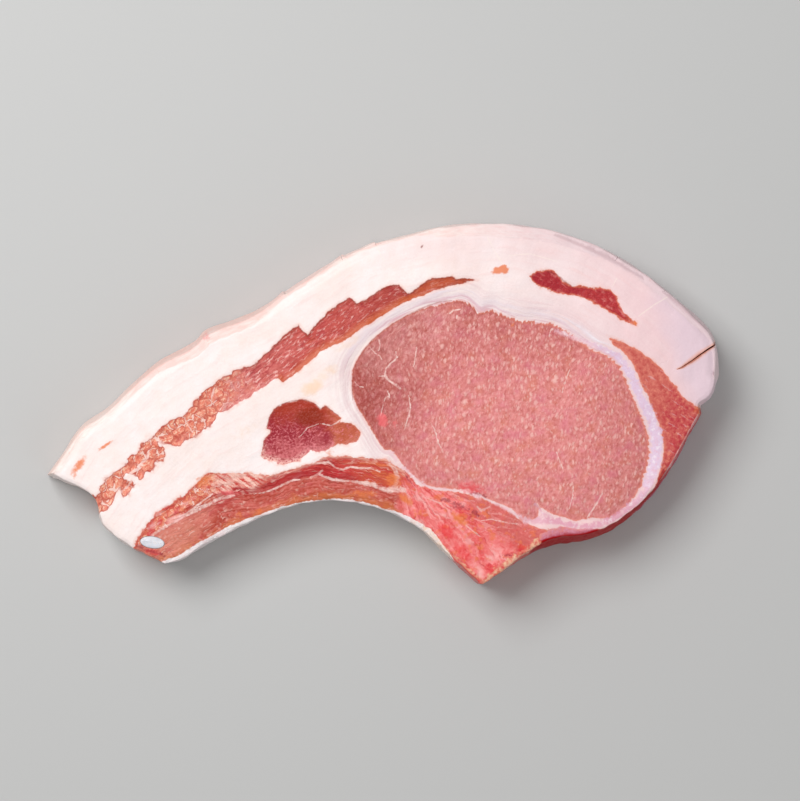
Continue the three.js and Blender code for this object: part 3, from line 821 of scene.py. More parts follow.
cuts = {
    "open": {"line": [(98.5, 18.9), (92.7, 15.8), (89.7, 13.8), (86.0, 11.2), (83.2, 9.7)], "width": 0.5},
    "closed": [
        [(-29.6, 33.9), (-27.4, 31.0)], [(-12.4, 43.6), (-11.1, 40.5)], [(-2.4, 47.6), (-1.6, 44.5)],
        [(68.2, 43.6), (65.8, 40.3)], [(82.8, 34.0), (79.4, 31.5)],
    ],
    # the blades' width where they end, and how tall they are, with the share of that below the table
    "closedWidth": 0.35, "tip": 0.05, "height": 60, "below": 0.3,
}
cartilage = {
    "x": -65.1, "y": -39.3, "reachX": 3.5, "reachY": 1.75, "turn": -8.0, "gap": 0.04, "proud": 0.35,
    "lift": 0.02, "insets": [(0.35, 0.1), (0.6, 0.08)], "edge": 0.4, "edgeSteps": 4, "sides": 64,
    "light": tone(234, 232, 238), "shade": tone(200, 204, 214),
    # how far the tool for its hole reaches below and above
    "holeLow": -10, "holeHigh": 40,
}


def cutter(line, width):
    # an upright blade along a line, from a plane that is extruded on and on
    line = smoothLine(line) if len(line) > 2 else np.array(line, float)
    deselectAll()
    bpy.ops.mesh.primitive_plane_add(size=1)
    blade = bpy.context.object
    bpy.ops.object.mode_set(mode="EDIT")
    editMesh = bmesh.from_edit_mesh(blade.data)
    bpy.ops.mesh.select_all(action="DESELECT")
    for edge in editMesh.edges:
        if all(corner.co.x > 0.4 for corner in edge.verts):
            edge.select_set(True)
    bmesh.update_edit_mesh(blade.data)
    for step in range(len(line) - 2):
        bpy.ops.mesh.extrude_region_move(TRANSFORM_OT_translate={"value": (1, 0, 0)})
    bpy.ops.mesh.select_all(action="SELECT")
    bpy.ops.mesh.extrude_region_move(TRANSFORM_OT_translate={"value": (0, 0, 1)})
    bpy.ops.mesh.select_all(action="SELECT")
    bpy.ops.mesh.normals_make_consistent(inside=False)
    bpy.ops.object.mode_set(mode="OBJECT")
    for corner in blade.data.vertices:
        step = int(round(corner.co.x + 0.5))
        before, after = line[max(0, step - 1)], line[min(len(line) - 1, step + 1)]
        way = (after - before) / np.linalg.norm(after - before)
        half = mix(width, cuts["tip"], step / (len(line) - 1)) * corner.co.y
        place = line[step] + half * np.array([-way[1], way[0]])
        corner.co = (place[0] * mm, place[1] * mm, (corner.co.z - cuts["below"]) * cuts["height"] * mm)
    return blade


def ovalRod(grow, low, high):
    deselectAll()
    bpy.ops.mesh.primitive_cylinder_add(vertices=cartilage["sides"], radius=1, depth=1)
    rod = bpy.context.object
    rod.scale = ((cartilage["reachX"] + grow) * mm, (cartilage["reachY"] + grow) * mm, (high - low) * mm)
    rod.rotation_euler.z = math.radians(cartilage["turn"])
    rod.location = (cartilage["x"] * mm, cartilage["y"] * mm, (high + low) / 2 * mm)
    keepPlace(rod)
    return rod


def takeAway(piece, tool):
    deselectAll()
    bpy.context.view_layer.objects.active = piece
    piece.select_set(True)
    cut = piece.modifiers.new("cut", "BOOLEAN")
    cut.operation, cut.solver, cut.object = "DIFFERENCE", "EXACT", tool
    bpy.ops.object.modifier_apply(modifier=cut.name)
    bpy.data.objects.remove(tool)


hole = ovalRod(cartilage["gap"], cartilage["holeLow"], cartilage["holeHigh"])
tools = [cutter(cuts["open"]["line"], cuts["open"]["width"]), hole]
tools += [cutter(line, cuts["closedWidth"]) for line in cuts["closed"]]
deselectAll()
for tool in tools:
    tool.select_set(True)
bpy.context.view_layer.objects.active = tools[0]
bpy.ops.object.join()
takeAway(porkChop, tools[0])


print("chop: what shows where")


# fibres run through the thickness, so patterns change this much less on the way up
upShare = 0.2


def storeField(mesh, name, values):
    kind = "FLOAT_VECTOR" if values.ndim > 1 else "FLOAT"
    attribute = mesh.attributes.new(name, kind, "POINT")
    attribute.data.foreach_set("vector" if values.ndim > 1 else "value", values.astype(np.float32).ravel())


def strokeField(group, x, y):
    # the way to the nearest stroke and its distance, and that stroke's half width there
    reach, farAway, thinnest = 4.0, 9.0, 0.1
    way = np.full((len(x), 3), farAway)
    width = np.full(len(x), thinnest)
    for stroke in group:
        stroke = onFace(stroke, raised=20)
        near = (x > stroke[:, 0].min() - reach) & (x < stroke[:, 0].max() + reach)
        near &= (y > stroke[:, 1].min() - reach) & (y < stroke[:, 1].max() + reach)
        near = np.nonzero(near)[0]
        far, wayX, wayY, at = nearest(stroke, x[near], y[near])
        closer = far < way[near, 2]
        near = near[closer]
        way[near] = np.stack([wayX, wayY, far], axis=1)[closer]
        width[near] = np.interp(at, range(len(stroke)), stroke[:, 2])[closer]
    return way, width


# where a spot has faded away, and over how much of its reach
spotEnd, spotFade = 1.6, 1.2


def spotField(group, x, y):
    total = np.zeros(len(x))
    for spotX, spotY, reachX, reachY, turn, strength in group:
        centre = onFace([(spotX, spotY)], raised=19)[0]
        turn = math.radians(turn)
        along = (x - centre[0]) * math.cos(turn) + (y - centre[1]) * math.sin(turn)
        over = (y - centre[1]) * math.cos(turn) - (x - centre[0]) * math.sin(turn)
        far = np.hypot(along / reachX, over / reachY)
        total = np.maximum(total, strength * smooth((spotEnd - far) / spotFade))
    return total


def storeFields(piece):
    mesh = piece.data
    place = np.empty(len(mesh.vertices) * 3)
    mesh.vertices.foreach_get("co", place)
    x, y, z = (place.reshape(-1, 3) / mm).T
    for name, outline in outlines.items():
        storeField(mesh, name, insideBy(outline, x, y))
    for name, group in strokes.items():
        way, width = strokeField(group, x, y)
        storeField(mesh, name, way)
        storeField(mesh, name + "Width", width)
    for name, group in spots.items():
        storeField(mesh, name + "Spot", spotField(group, x, y))

    # length along and distance across, for fibres that follow a line
    for name, line in (("streakFlow", streakLine), ("ribFlow", fasciaLine)):
        far, wayX, wayY, at = nearest(line, x, y)
        across = np.where(wayX * 0.5 - wayY > 0, far, -far)
        storeField(mesh, name, np.stack([lengthAlong(line, at), across, z * upShare], axis=1))

    # how far in from the skin and from the membrane, at this height on the wall
    top = np.interp(x, (-90, 0), (chopShape["tailThickness"], chopShape["loinThickness"]))
    share = np.clip(z / top, 0, 1)
    lean = np.interp(share, levels[:, 0], levels[:, 1])
    rounding = np.interp(share, levels[:, 0], levels[:, 2])
    for name, curve, side, edge in (("skin", rindCurve, "rindLean", "rindRound"),
                                    ("membrane", innerCurve, "innerLean", "cutRound")):
        line = smoothLine(curve)
        far, _, _, at = nearest(line, x, y)
        leaning = leanAt(side, at / (len(line) - 1))
        storeField(mesh, name + "Depth", far - lean * leaning - rounding * chopShape[edge])
        storeField(mesh, name + "Place", lengthAlong(line, at))
    storeField(mesh, "skinWidth", np.interp(x, *zip(*chopShape["skinStrip"])))
    storeField(mesh, "membraneWidth", np.interp(x, *zip(*chopShape["membraneStrip"])))


storeFields(porkChop)


print("chop: finish")

meatTones = {
    "fatWhite": tone(253, 241, 239), "fatCream": tone(251, 230, 222), "fatPink": tone(243, 208, 211),
    "fatBlush": tone(250, 214, 210), "fatBlue": tone(246, 236, 242), "fatLilac": tone(232, 202, 206),
    "fatCool": tone(226, 206, 220), "layerPink": tone(228, 184, 192), "haze": tone(246, 186, 170),
    "skin": tone(247, 206, 198), "skinLine": tone(232, 184, 168), "skinPale": tone(253, 240, 233),
    # the last tone on the next line is painted shade, for the shadow in the crease by the rind
    "skinCool": tone(234, 208, 214), "creaseShade": tone(150, 104, 112),
    "score": tone(255, 240, 226), "slit": tone(178, 92, 66), "slitHalo": tone(236, 168, 140),
    "slitDeep": tone(172, 100, 76),
    "thin": tone(242, 150, 122), "brownEdge": tone(150, 60, 40),
    "eyeLight": tone(238, 152, 149), "eyeDeep": tone(206, 110, 106), "eyeWarm": tone(220, 128, 104),
    "eyeCool": tone(226, 124, 142), "eyeBrown": tone(160, 66, 58), "fleck": tone(250, 196, 188),
    "lobeLight": tone(250, 178, 152), "lobe": tone(230, 116, 92), "lobeEdge": tone(186, 74, 58),
    "lobeDot": tone(190, 66, 58), "lobeGlint": tone(254, 220, 190), "gap": tone(253, 218, 206),
    "streakMid": tone(226, 132, 126), "streakRed": tone(206, 88, 80), "streakDeep": tone(172, 66, 55),
    "streakFringe": tone(208, 100, 50), "glint": tone(252, 196, 188),
    "smallStreak": tone(170, 40, 50), "smallStreakLight": tone(192, 58, 60),
    "lumpBrown": tone(176, 58, 40), "lumpMaroon": tone(160, 38, 52), "lumpPink": tone(224, 122, 128),
    "lumpLow": tone(226, 124, 126), "lumpLobe": tone(200, 98, 72), "lumpDark": tone(142, 36, 0),
    "ribPink": tone(216, 110, 100), "ribBrown": tone(182, 68, 52), "ribOchre": tone(210, 116, 68),
    "ribPurple": tone(192, 66, 74), "ribDark": tone(168, 30, 34), "ribRed": tone(208, 72, 64),
    "ribOrange": tone(232, 118, 76), "ribPale": tone(252, 206, 192), "crimson": tone(212, 44, 58),
    "tipRed": tone(254, 144, 142), "tipDeep": tone(228, 84, 82), "tipPale": tone(254, 188, 184),
    "tipBrown": tone(214, 104, 98), "tipOrange": tone(238, 122, 78),
    "side": tone(222, 126, 112), "sideDeep": tone(192, 76, 72), "sideRed": tone(192, 56, 70),
    "sideWall": tone(172, 4, 14), "sideRim": tone(236, 196, 198), "sideTorn": tone(186, 110, 144),
    "seam": tone(242, 200, 208), "seamPink": tone(226, 156, 178), "seamCool": tone(226, 200, 226),
    "membrane": tone(254, 246, 247), "membranePink": tone(244, 206, 206), "bone": tone(250, 214, 182),
    "line": tone(253, 222, 214), "cream": tone(250, 200, 164), "blood": tone(240, 56, 62),
    "clot": tone(140, 24, 48), "orange": tone(238, 128, 74), "flush": tone(255, 112, 118),
    "tipStrand": tone(250, 180, 176), "stain": tone(252, 212, 178),
}


# noise that all the regions share: its grain in millimetres, and its detail
sharedNoise = {"grain": (0.45, 1), "fine": (0.9, 1), "middle": (2.6, 2), "broad": (13.0, 1)}
loinHeart = {"x": 34, "y": -2, "reach": 35.0}
tipFan = {"x": 2, "y": -13}


def commonWires(s):
    # places in millimetres, the shared noise, and the way round the loin muscle
    place = s.scaled(s.add("ShaderNodeTexCoord", output=3), 1 / mm)
    x, y, z = s.parts(place)
    flat = s.joined(x, y, z * upShare)
    at = {
        "x": x, "y": y, "z": z, "flat": flat,
        **{name: s.noise(flat, size, detail) for name, (size, detail) in sharedNoise.items()},
    }
    # a slightly shaken place, so that cells and flecks lose their straight sides
    at["shaken"] = s.vector("ADD", flat, s.joined(at["fine"] * 0.2, at["grain"] * 0.14, 0.0))
    fromHeart = s.joined(x - loinHeart["x"], y - loinHeart["y"], 0.0)
    out = s.scaled(s.vector("NORMALIZE", fromHeart), loinHeart["reach"])
    at["aroundX"], at["aroundY"], _ = s.parts(out)
    return at


def painted(s, colour, coats):
    # coat over coat, each with the share that shows and its tone
    for share, name in coats:
        colour = s.colour(share, colour, meatTones[name])
    return colour


def turned(s, vector, degrees, scaleX, scaleY):
    # the axes turned first and then scaled, so that a pattern is drawn out along a slanting line
    return s.add("ShaderNodeMapping", {"vector_type": "TEXTURE"}, {
        "Vector": vector, "Rotation": (0, 0, math.radians(degrees)), "Scale": (1 / scaleX, 1 / scaleY, 1)})


def flecks(s, vector, size, radius, seed=0.0, soft=0.09):
    # small dots, one to a cell, each of its own size
    moved = s.vector("ADD", vector, (seed, seed * 1.7, 0))
    far, pick = s.cellsAndColour(moved, size)
    return ((s.parts(pick)[0] * 1.3 - 0.2) * radius - far).ramp(-soft, soft * 0.5)


def strokeShare(s, at, name, wobble, soft=0.5):
    # 1 on a stroke's middle, 0 beyond its edge
    shift = s.joined(at["fine"] * wobble, at["middle"] * wobble, 0.0)
    wayX, wayY, far = s.parts(s.vector("ADD", s.fieldVector(name), shift))
    length = s.vector("LENGTH", s.joined(wayX, wayY, 0.0), output=1)
    width = s.field(name + "Width") * (1 + at["fine"] * 0.3 + at["middle"] * 0.2)
    return (length.most(far - 0.35) / width).ramp(1 + soft, 1 - soft)


def spread(s, wire, warm, cool, colour, strength):
    # drifts a colour to a warmer one where the wire is high and a cooler one where it is low
    colour = s.colour(wire.ramp(0.0, 1.0) * strength, colour, warm)
    return s.colour(wire.ramp(0.0, -1.0) * strength, colour, cool)


lobeSize = 2.5


def lobeTone(s, at, vector, size, light, middleTone, edgeTone):
    # rounded lean lobes with dark rims, bright specks and a fine pale net, and gaps of fat between some
    tones = meatTones
    edge = s.cells(vector, size, "DISTANCE_TO_EDGE")
    uneven = s.vector("ADD", vector, s.joined(at["grain"] * 0.25, at["fine"] * 0.2, 0.0))
    net = s.cells(uneven, 1.1, "DISTANCE_TO_EDGE")
    speck = s.noise(vector, 0.55, 2, 0.65)
    blotch = s.noise(s.vector("ADD", vector, (7.0, 3.0, 0)), 1.3, 2)
    colour = s.colour((0.4 + speck * 0.7).held(), middleTone, light)
    colour = s.colour(blotch.ramp(0.0, 0.7) * 0.65, colour, tones["lobeDot"])
    colour = s.colour((edge + speck * 0.05).ramp(0.2, 0.06) * 0.6, colour, edgeTone)
    colour = s.colour(net.ramp(0.1, 0.02) * (0.25 + at["middle"] * 0.3).held(), colour, light)
    glow = (speck - blotch * 0.4).ramp(0.2, 0.75) * edge.ramp(0.06, 0.2)
    colour = s.colour(glow * 0.65, colour, tones["lobeGlint"])
    gap = (at["middle"] * 0.16 + at["fine"] * 0.03 + 0.01 - edge).ramp(-0.03, 0.03)
    colour = s.colour(gap * 0.85, colour, tones["gap"])
    return colour, edge.ramp(0.02, 0.3) * 0.06 + speck * 0.06


def fatSurface(s, at, leanDepth):
    tones = meatTones
    x, y, fine, middle, broad = at["x"], at["y"], at["fine"], at["middle"], at["broad"]
    eyeDepth, depth, along = s.field("eye"), s.field("skinDepth"), s.field("skinPlace")
    # pinker and darker towards the right: partly the fat's own pink, partly painted shade where the light
    # falls off away from the left
    toRight = (x + broad * 5).ramp(8, 88)
    strand = s.noise(s.joined(along / 11, depth / 1.3 + middle * 0.25, 0.0), 1.0, 2)
    fat = s.colour((0.3 + middle * 0.25 + broad * 0.35).held(), tones["fatWhite"], tones["fatCream"])
    fat = painted(s, fat, [
        ((toRight * (1 + strand * 0.15)).held(), "fatPink"),
        (strand.ramp(0.1, 1.0) * 0.3, "fatBlush"),
    ])

    # connective layers bent round the loin muscle
    layers = s.noise(s.joined(at["aroundX"] / 9, at["aroundY"] / 9, eyeDepth / 0.8 + middle * 0.15), 1.0, 2)
    near = (eyeDepth + broad * 1.5).ramp(-9, -1.5) * (x + y * 0.4).ramp(-20, -6)
    fat = painted(s, fat, [
        ((near * (0.45 + layers * 0.6)).held(), "fatLilac"),
        ((y + broad * 3).ramp(36, 47) * x.ramp(-14, 4) * 0.3, "fatPink"),
    ])
    cool = (x + y * 0.2 + broad * 3).ramp(80, 90)
    fat = s.colour(cool * 0.6, fat, tones["fatCool"])
    white = (eyeDepth + middle * 0.7).ramp(-4.5, -2.5) * y.ramp(10, 18) * eyeDepth.ramp(-0.1, -1.3)
    fat = s.colour((white * (0.35 + layers * 0.7)).held(), fat, tones["fatBlue"])
    lines = layers.ramp(-0.15, 0.65) * (eyeDepth + middle * 0.4).ramp(-3.0, -0.6) * y.ramp(4, 12)
    fat = painted(s, fat, [
        (lines * 0.9, "layerPink"),
        (leanDepth.ramp(-0.9, 0.0) * (0.3 + middle * 0.25).held(), "haze"),
    ])
    low = (y + middle * 2).ramp(-12, -18) * x.ramp(-6, 6)
    fat = painted(s, fat, [
        (low * (0.5 + x.ramp(8, 16) * 0.35 + fine * 0.3).held(), "membranePink"),
        ((at["grain"] * 0.12).held(), "fatLilac"),
    ])

    # the rind: on the wall, and as a strip at the edge of the cut face
    wrinkle = s.noise(s.joined(along / 4, depth / 0.5, at["z"] / 1.5), 1.0, 2)
    edge = (depth - s.field("skinWidth") + middle * 0.3).ramp(0.35, -0.15)
    paler = x.ramp(-66, -78) * 0.6 + x.ramp(-25, 8) * 0.4
    skin = s.colour((0.12 + paler + wrinkle * 0.5).held(), tones["skin"], tones["skinPale"])
    skin = s.colour(x.ramp(2, 65) * 0.85, skin, tones["skinCool"])
    pores = flecks(s, s.joined(along, at["z"] + depth, 0.0), 1.6, 0.14) * depth.ramp(0.6, 0.2)
    speckle = (pores * 0.3).most(fine.ramp(0.5, 1.0) * x.ramp(-10, -30) * 0.35)
    skin = s.colour(speckle, skin, tones["skinLine"])
    fat = s.colour(edge * (0.85 + middle * 0.15).held(), fat, skin)
    outer = (depth + fine * 0.1).ramp(0.5, 0.05) * x.ramp(-25, -40)
    fat = s.colour(outer * 0.35, fat, tones["skinLine"])
    relief = strand * 0.025 + layers * near * 0.045 + fine * 0.02 + wrinkle * edge * 0.05 - pores * 0.03
    return fat, relief


def eyeSurface(s, at, depth):
    tones = meatTones
    x, y, fine = at["x"], at["y"], at["fine"]
    leaning = s.vector("ADD", at["shaken"], s.joined(at["broad"] * 0.8 + at["middle"] * 0.3, 0.0, 0.0))
    mottle = s.noise(turned(s, leaning, -6, 1.0, 0.6), 0.85, 2, 0.65)
    drift = s.noise(at["flat"], 3.6, 2)
    eye = s.colour((0.38 + mottle * 0.62 + fine * 0.2).held(), tones["eyeLight"], tones["eyeDeep"])
    eye = spread(s, drift, tones["eyeWarm"], tones["eyeCool"], eye, 0.5)

    # browner to the left and above, where the fibres show as slanting lines
    upperLeft = (y * 0.8 - x * 0.35 + at["broad"] * 3)
    brown = ((x - y * 0.35 + at["broad"] * 4).ramp(26, -10) * 0.8).most(y.ramp(2, 28) * 0.42)
    brown = brown.most(x.ramp(50, 74) * 0.18) * (1 + mottle * 0.3)
    rim = depth.ramp(2.0, 0.1) * upperLeft.ramp(-6, 8) * 0.7
    second = (depth - 1.6 + fine * 0.15).size().ramp(0.5, 0.1) * (x + y).ramp(48, 38)
    second = second * upperLeft.ramp(6, 13) * 0.5
    eye = s.colour(brown.most(rim).most(second).held(), eye, tones["eyeBrown"])
    fibre = s.noise(turned(s, leaning, -42, 1.5, 0.28), 1.0, 1)
    eye = s.colour(fibre.ramp(0.0, 0.9) * upperLeft.ramp(4, 20) * 0.3, eye, tones["fleck"])

    # short pale flecks of marbling, nearly upright
    upright = turned(s, leaning, -6, 1.0, 0.5)
    big = flecks(s, upright, 1.5, 0.2, soft=0.16)
    small = flecks(s, upright, 0.8, 0.24, 5.3, soft=0.2)
    patchy = (0.75 + drift * 0.3).held() * (0.4 + (x - y * 0.3).ramp(-8, 22) * 0.6)
    eye = s.colour((big * 0.85).most(small * 0.5) * depth.ramp(0.2, 1.4) * patchy, eye, tones["fleck"])
    edge = depth.ramp(0.9, 0.1) * (x + y * 0.8).ramp(40, 60)
    eye = s.colour(edge * 0.4, eye, tones["eyeWarm"])
    return eye, mottle * 0.06 + fine * 0.03 + big * 0.04


def streakSurface(s, at, depth):
    tones = meatTones
    x, fine, middle = at["x"], at["fine"], at["middle"]
    shake = s.joined(fine * 0.35 + middle * 0.3, at["grain"] * 0.15, 0.0)
    flow = s.vector("ADD", s.fieldVector("streakFlow"), shake)
    over = s.parts(flow)[1]
    left, leftRelief = lobeTone(
        s, at, at["lobePlace"], lobeSize, tones["lobeLight"], tones["lobe"], tones["lobeEdge"])
    left = s.colour(depth.ramp(0.55, 0.15) * 0.7, left, tones["lobeEdge"])
    fibre = s.noise(turned(s, flow, 6, 0.3, 1.25), 1.0, 2, 0.65)
    glint = s.noise(turned(s, s.vector("ADD", flow, (5, 9, 0)), 8, 0.45, 1.1), 0.8, 2, 0.65)
    drift = s.noise(turned(s, flow, 6, 0.3, 0.7), 1.4, 1)
    right = s.colour((x + middle * 5).ramp(-45, -20), tones["streakMid"], tones["streakRed"])
    right = painted(s, right, [
        ((x + middle * 4).ramp(-18, 8) * 0.85, "streakDeep"),
        ((fibre * 0.6 + at["grain"] * 0.2 + 0.1).held(), "streakDeep"),
        ((-0.1 - fibre).ramp(0.0, 0.8) * 0.45, "streakMid"),
        ((drift.ramp(0.2, 1.0) * 0.5).held(), "smallStreak"),
    ])
    bundle = s.cells(turned(s, flow, 10, 0.45, 1.0), 1.6, "DISTANCE_TO_EDGE")
    right = painted(s, right, [
        (bundle.ramp(0.12, 0.02) * (0.3 + middle * 0.4).held(), "smallStreak"),
        (glint.ramp(0.1, 0.95) * (0.5 + x.ramp(-5, -30) * 0.4), "glint"),
    ])
    thread = s.noise(turned(s, s.vector("ADD", flow, (11, 2, 0)), 14, 0.22, 1.6), 1.0, 1)
    right = s.colour(thread.ramp(0.55, 0.95) * (0.35 + x.ramp(0, -30) * 0.35), right, tones["glint"])
    orange = (x + middle * 2).ramp(7, 10) * (0.45 + fibre * 0.2)
    fringe = depth.ramp(2.8, 0.1) * (over + middle * 0.6).ramp(0.4, -0.8)
    fringe = fringe * (x + middle * 4).ramp(-34, -22) * 0.75
    right = s.colour(fringe.most(orange).held(), right, tones["streakFringe"])
    dark = depth.ramp(0.8, 0.15) * over.ramp(-0.2, 0.6)
    right = s.colour(dark * 0.6, right, tones["brownEdge"])
    toRight = (x + middle * 6).ramp(-50, -34)
    colour = s.colour(toRight, left, right)
    return colour, mix(leftRelief, fibre * 0.09 + glint * 0.04, toRight)


def smallStreakSurface(s, at, depth):
    tones = meatTones
    fine, middle = at["fine"], at["middle"]
    lobule = s.noise(at["shaken"], 0.9, 2, 0.65)
    pale = s.noise(turned(s, at["shaken"], -38, 0.4, 1.0), 0.9, 1)
    toRight = (at["x"] + middle * 3).ramp(48, 62)
    lighter = (toRight * 0.5 + lobule * 0.55 + 0.1).held()
    red = s.colour(lighter, tones["smallStreak"], tones["smallStreakLight"])
    red = painted(s, red, [
        (pale.ramp(0.1, 0.9) * 0.6, "streakMid"),
        ((-0.2 - lobule).ramp(0.0, 0.9) * toRight * 0.5, "streakDeep"),
        ((at["x"] + middle).ramp(68, 72) * 0.8, "ribOchre"),
        (depth.ramp(0.6, 0.1) * 0.4, "ribOrange"),
    ])
    return red, lobule * 0.08 + fine * 0.03


def lumpSurface(s, at, depth):
    tones = meatTones
    x, y, fine, middle = at["x"], at["y"], at["fine"], at["middle"]
    lobule = s.noise(at["shaken"], 0.95, 2, 0.65)
    speck = s.noise(turned(s, s.vector("ADD", at["shaken"], (4, 8, 0)), 30, 0.7, 1.0), 0.6, 1)
    lump = s.colour((y + x * 0.15 + middle * 2.2).ramp(-12, -5.5), tones["lumpMaroon"], tones["lumpBrown"])
    lump = painted(s, lump, [
        ((-y + x * 0.1 + middle * 2.2).ramp(6.5, 12.0) * 0.7, "lumpLow"),
        ((x + y * 0.2 + middle).ramp(-17.5, -14.0), "lumpLobe"),
        ((0.05 + lobule * 0.3).held(), "lumpDark"),
    ])
    low = (-y + middle * 2).ramp(3, 9)
    lump = painted(s, lump, [
        (speck.ramp(0.15, 1.0) * (0.25 + low * 0.6), "lumpPink"),
        ((-0.3 - lobule).ramp(0.0, 0.9) * 0.35, "lumpPink"),
    ])
    dots = s.noise(s.vector("ADD", at["shaken"], (9, 1, 0)), 0.6, 1)
    low = low * (x + middle).ramp(-16, -19)
    lump = painted(s, lump, [
        (dots.ramp(0.0, 0.8) * low * 0.8, "lumpPink"),
        ((-0.1 - dots).ramp(0.0, 0.7) * low * 0.6, "lumpMaroon"),
    ])
    haze = depth.ramp(2.4, 0.1) * (-y - x * 0.3 + middle * 2.5).ramp(19, 24)
    lump = s.colour((haze * (0.5 + dots * 0.7)).held(), lump, tones["ribPale"])
    return lump, lobule * 0.08 + fine * 0.03


def ribSurface(s, at, depth):
    tones = meatTones
    x, y, fine, middle = at["x"], at["y"], at["fine"], at["middle"]
    flow = s.vector("ADD", s.fieldVector("ribFlow"), s.joined(middle * 0.6, fine * 0.2 + middle * 0.3, 0.0))
    over = s.parts(flow)[1]
    fibre = s.noise(turned(s, flow, 0, 0.13, 1.15), 1.0, 2, 0.6)
    thread = s.noise(turned(s, s.vector("ADD", flow, (9, 5, 0)), 0, 0.22, 1.9), 1.0, 2)
    patch = s.noise(turned(s, s.vector("ADD", flow, (3, 11, 0)), 8, 0.3, 0.55), 1.0, 2)
    far, pick = s.cellsAndColour(turned(s, flow, 12, 0.7, 1.0), 0.9)
    own = s.parts(pick)[0]
    speck = (own - 0.45).ramp(0.0, 0.5) * far.ramp(0.6, 0.0)

    # below the line: dark red lean that turns pink-brown, and ochre towards the membrane
    inner = s.field("membraneDepth")
    low = s.colour((0.6 + fibre * 0.8 + fine * 0.3).held(), tones["ribPink"], tones["ribBrown"])
    low = painted(s, low, [
        ((over + middle * 0.8).ramp(-4.0, -0.3) * (x + middle * 3).ramp(-38, -46) * 0.5, "ribPurple"),
        ((x + middle * 3).ramp(-46, -56) * 0.35, "lobeLight"),
        ((inner + middle * 0.9 + patch * 0.8).ramp(3.4, 1.0) * 0.7, "ribOchre"),
        (patch.ramp(0.3, 1.0) * 0.45, "ribPurple"),
        (speck * (0.28 + middle * 0.35).held(), "ribPale"),
        (thread.ramp(0.3, 1.1) * 0.35, "ribPale"),
    ])

    # above it to the left: fatty lobes, then feathered strands
    bent = s.vector("ADD", turned(s, flow, 15, 1.0, 1.1), s.joined(middle * 0.5, fine * 0.5, 0.0))
    left, leftRelief = lobeTone(s, at, bent, 2.3, tones["lobeLight"], tones["ribOrange"], tones["ribRed"])
    left = painted(s, left, [
        (patch.ramp(0.0, 0.8) * (x + middle * 3).ramp(-50, -60) * 0.7, "crimson"),
        (depth.ramp(1.0, 0.3) * (x + middle * 3).ramp(-46, -52) * 0.75, "ribRed"),
    ])
    feather = s.noise(turned(s, at["shaken"], -34, 0.26, 1.7), 1.0, 1)
    feathered = (x + middle * 3).ramp(-50, -45) * (x + middle * 2).ramp(-31, -35)
    strands = s.colour((0.5 + feather * 0.9).held(), tones["ribRed"], tones["ribPale"])
    left = s.colour(feathered * 0.9, left, strands)

    # to the right: dark red bands that turn orange at their end
    right = s.colour((0.6 + fibre * 0.8).held(), tones["ribRed"], tones["ribDark"])
    right = s.colour(thread.ramp(0.1, 0.9) * 0.5, right, tones["ribPale"])
    toOrange = (x + over * 0.8 + middle * 4).ramp(-12, 2) * (x + middle).ramp(9, 6)
    right = s.colour((toOrange * (0.35 + fibre * 0.7)).held(), right, tones["ribOrange"])
    high = s.colour((x + middle * 3).ramp(-37, -30), left, right)

    rib = s.colour((over + fine * 0.25).ramp(-0.1, 0.5), low, high)
    band = (over - 1.0 + middle * 0.4).size().ramp(1.5, 0.4) * x.ramp(-62, -52) * x.ramp(-6, -14)
    rib = painted(s, rib, [
        ((band * (0.7 + thread * 0.4)).held(), "ribDark"),
        (thread.ramp(0.7, 1.1) * 0.6, "ribPale"),
    ])
    edge = depth.ramp(1.5, 0.1) * (x + middle * 2).ramp(-50, -44) * (0.4 + fibre * 0.5).held()
    rib = s.colour(edge, rib, tones["ribPale"])
    ribRelief = fibre * 0.1 + thread * 0.06 + feather * feathered * 0.05
    ribRelief = ribRelief + leftRelief * x.ramp(-35, -45) * 0.5

    # the ragged tip: strands that fan out from the end of the seam
    fanX, fanY = x - tipFan["x"], y - tipFan["y"]
    angle = s.math("ARCTAN2", fanY, fanX)
    radius = s.vector("LENGTH", s.joined(fanX, fanY, 0.0), output=1)
    fan = s.joined(angle * 30 + middle * 0.8, radius * 0.17 + fine * 0.12, at["z"] * 0.1)
    strand = s.noise(fan, 1.5, 2, 0.6)
    wet = s.noise(at["shaken"], 1.6, 1)
    tip = s.colour((0.38 + strand * 0.8 + fine * 0.25).held(), tones["tipRed"], tones["tipDeep"])
    tip = s.colour((-0.15 - strand).ramp(0.0, 0.8) * 0.65, tip, tones["tipPale"])
    below = y + x * 0.42 + 15.8 + middle
    beside = below.ramp(-10, -5) * below.ramp(0, -1) * x.ramp(12, 20)
    streaks = s.noise(turned(s, at["shaken"], -22, 0.16, 1.3), 1.0, 1)
    tip = painted(s, tip, [
        (streaks.ramp(0.05, 0.7) * beside * 0.6, "tipStrand"),
        ((-0.1 - streaks).ramp(0.0, 0.6) * beside * 0.45, "ribPurple"),
    ])
    brown = (x + y * 1.1 + middle * 1.6).ramp(-10, -3)
    tip = painted(s, tip, [
        ((brown * (0.85 + wet * 0.3)).held(), "tipBrown"),
        (wet.ramp(0.2, 0.9) * 0.65, "tipOrange"),
    ])
    grey = s.noise(s.vector("ADD", at["shaken"], (3, 6, 0)), 1.1, 2, 0.6)
    tip = painted(s, tip, [
        ((-0.3 - grey).ramp(0.0, 0.9) * 0.6, "crimson"),
        (grey.ramp(0.35, 1.1) * 0.35, "tipPale"),
    ])
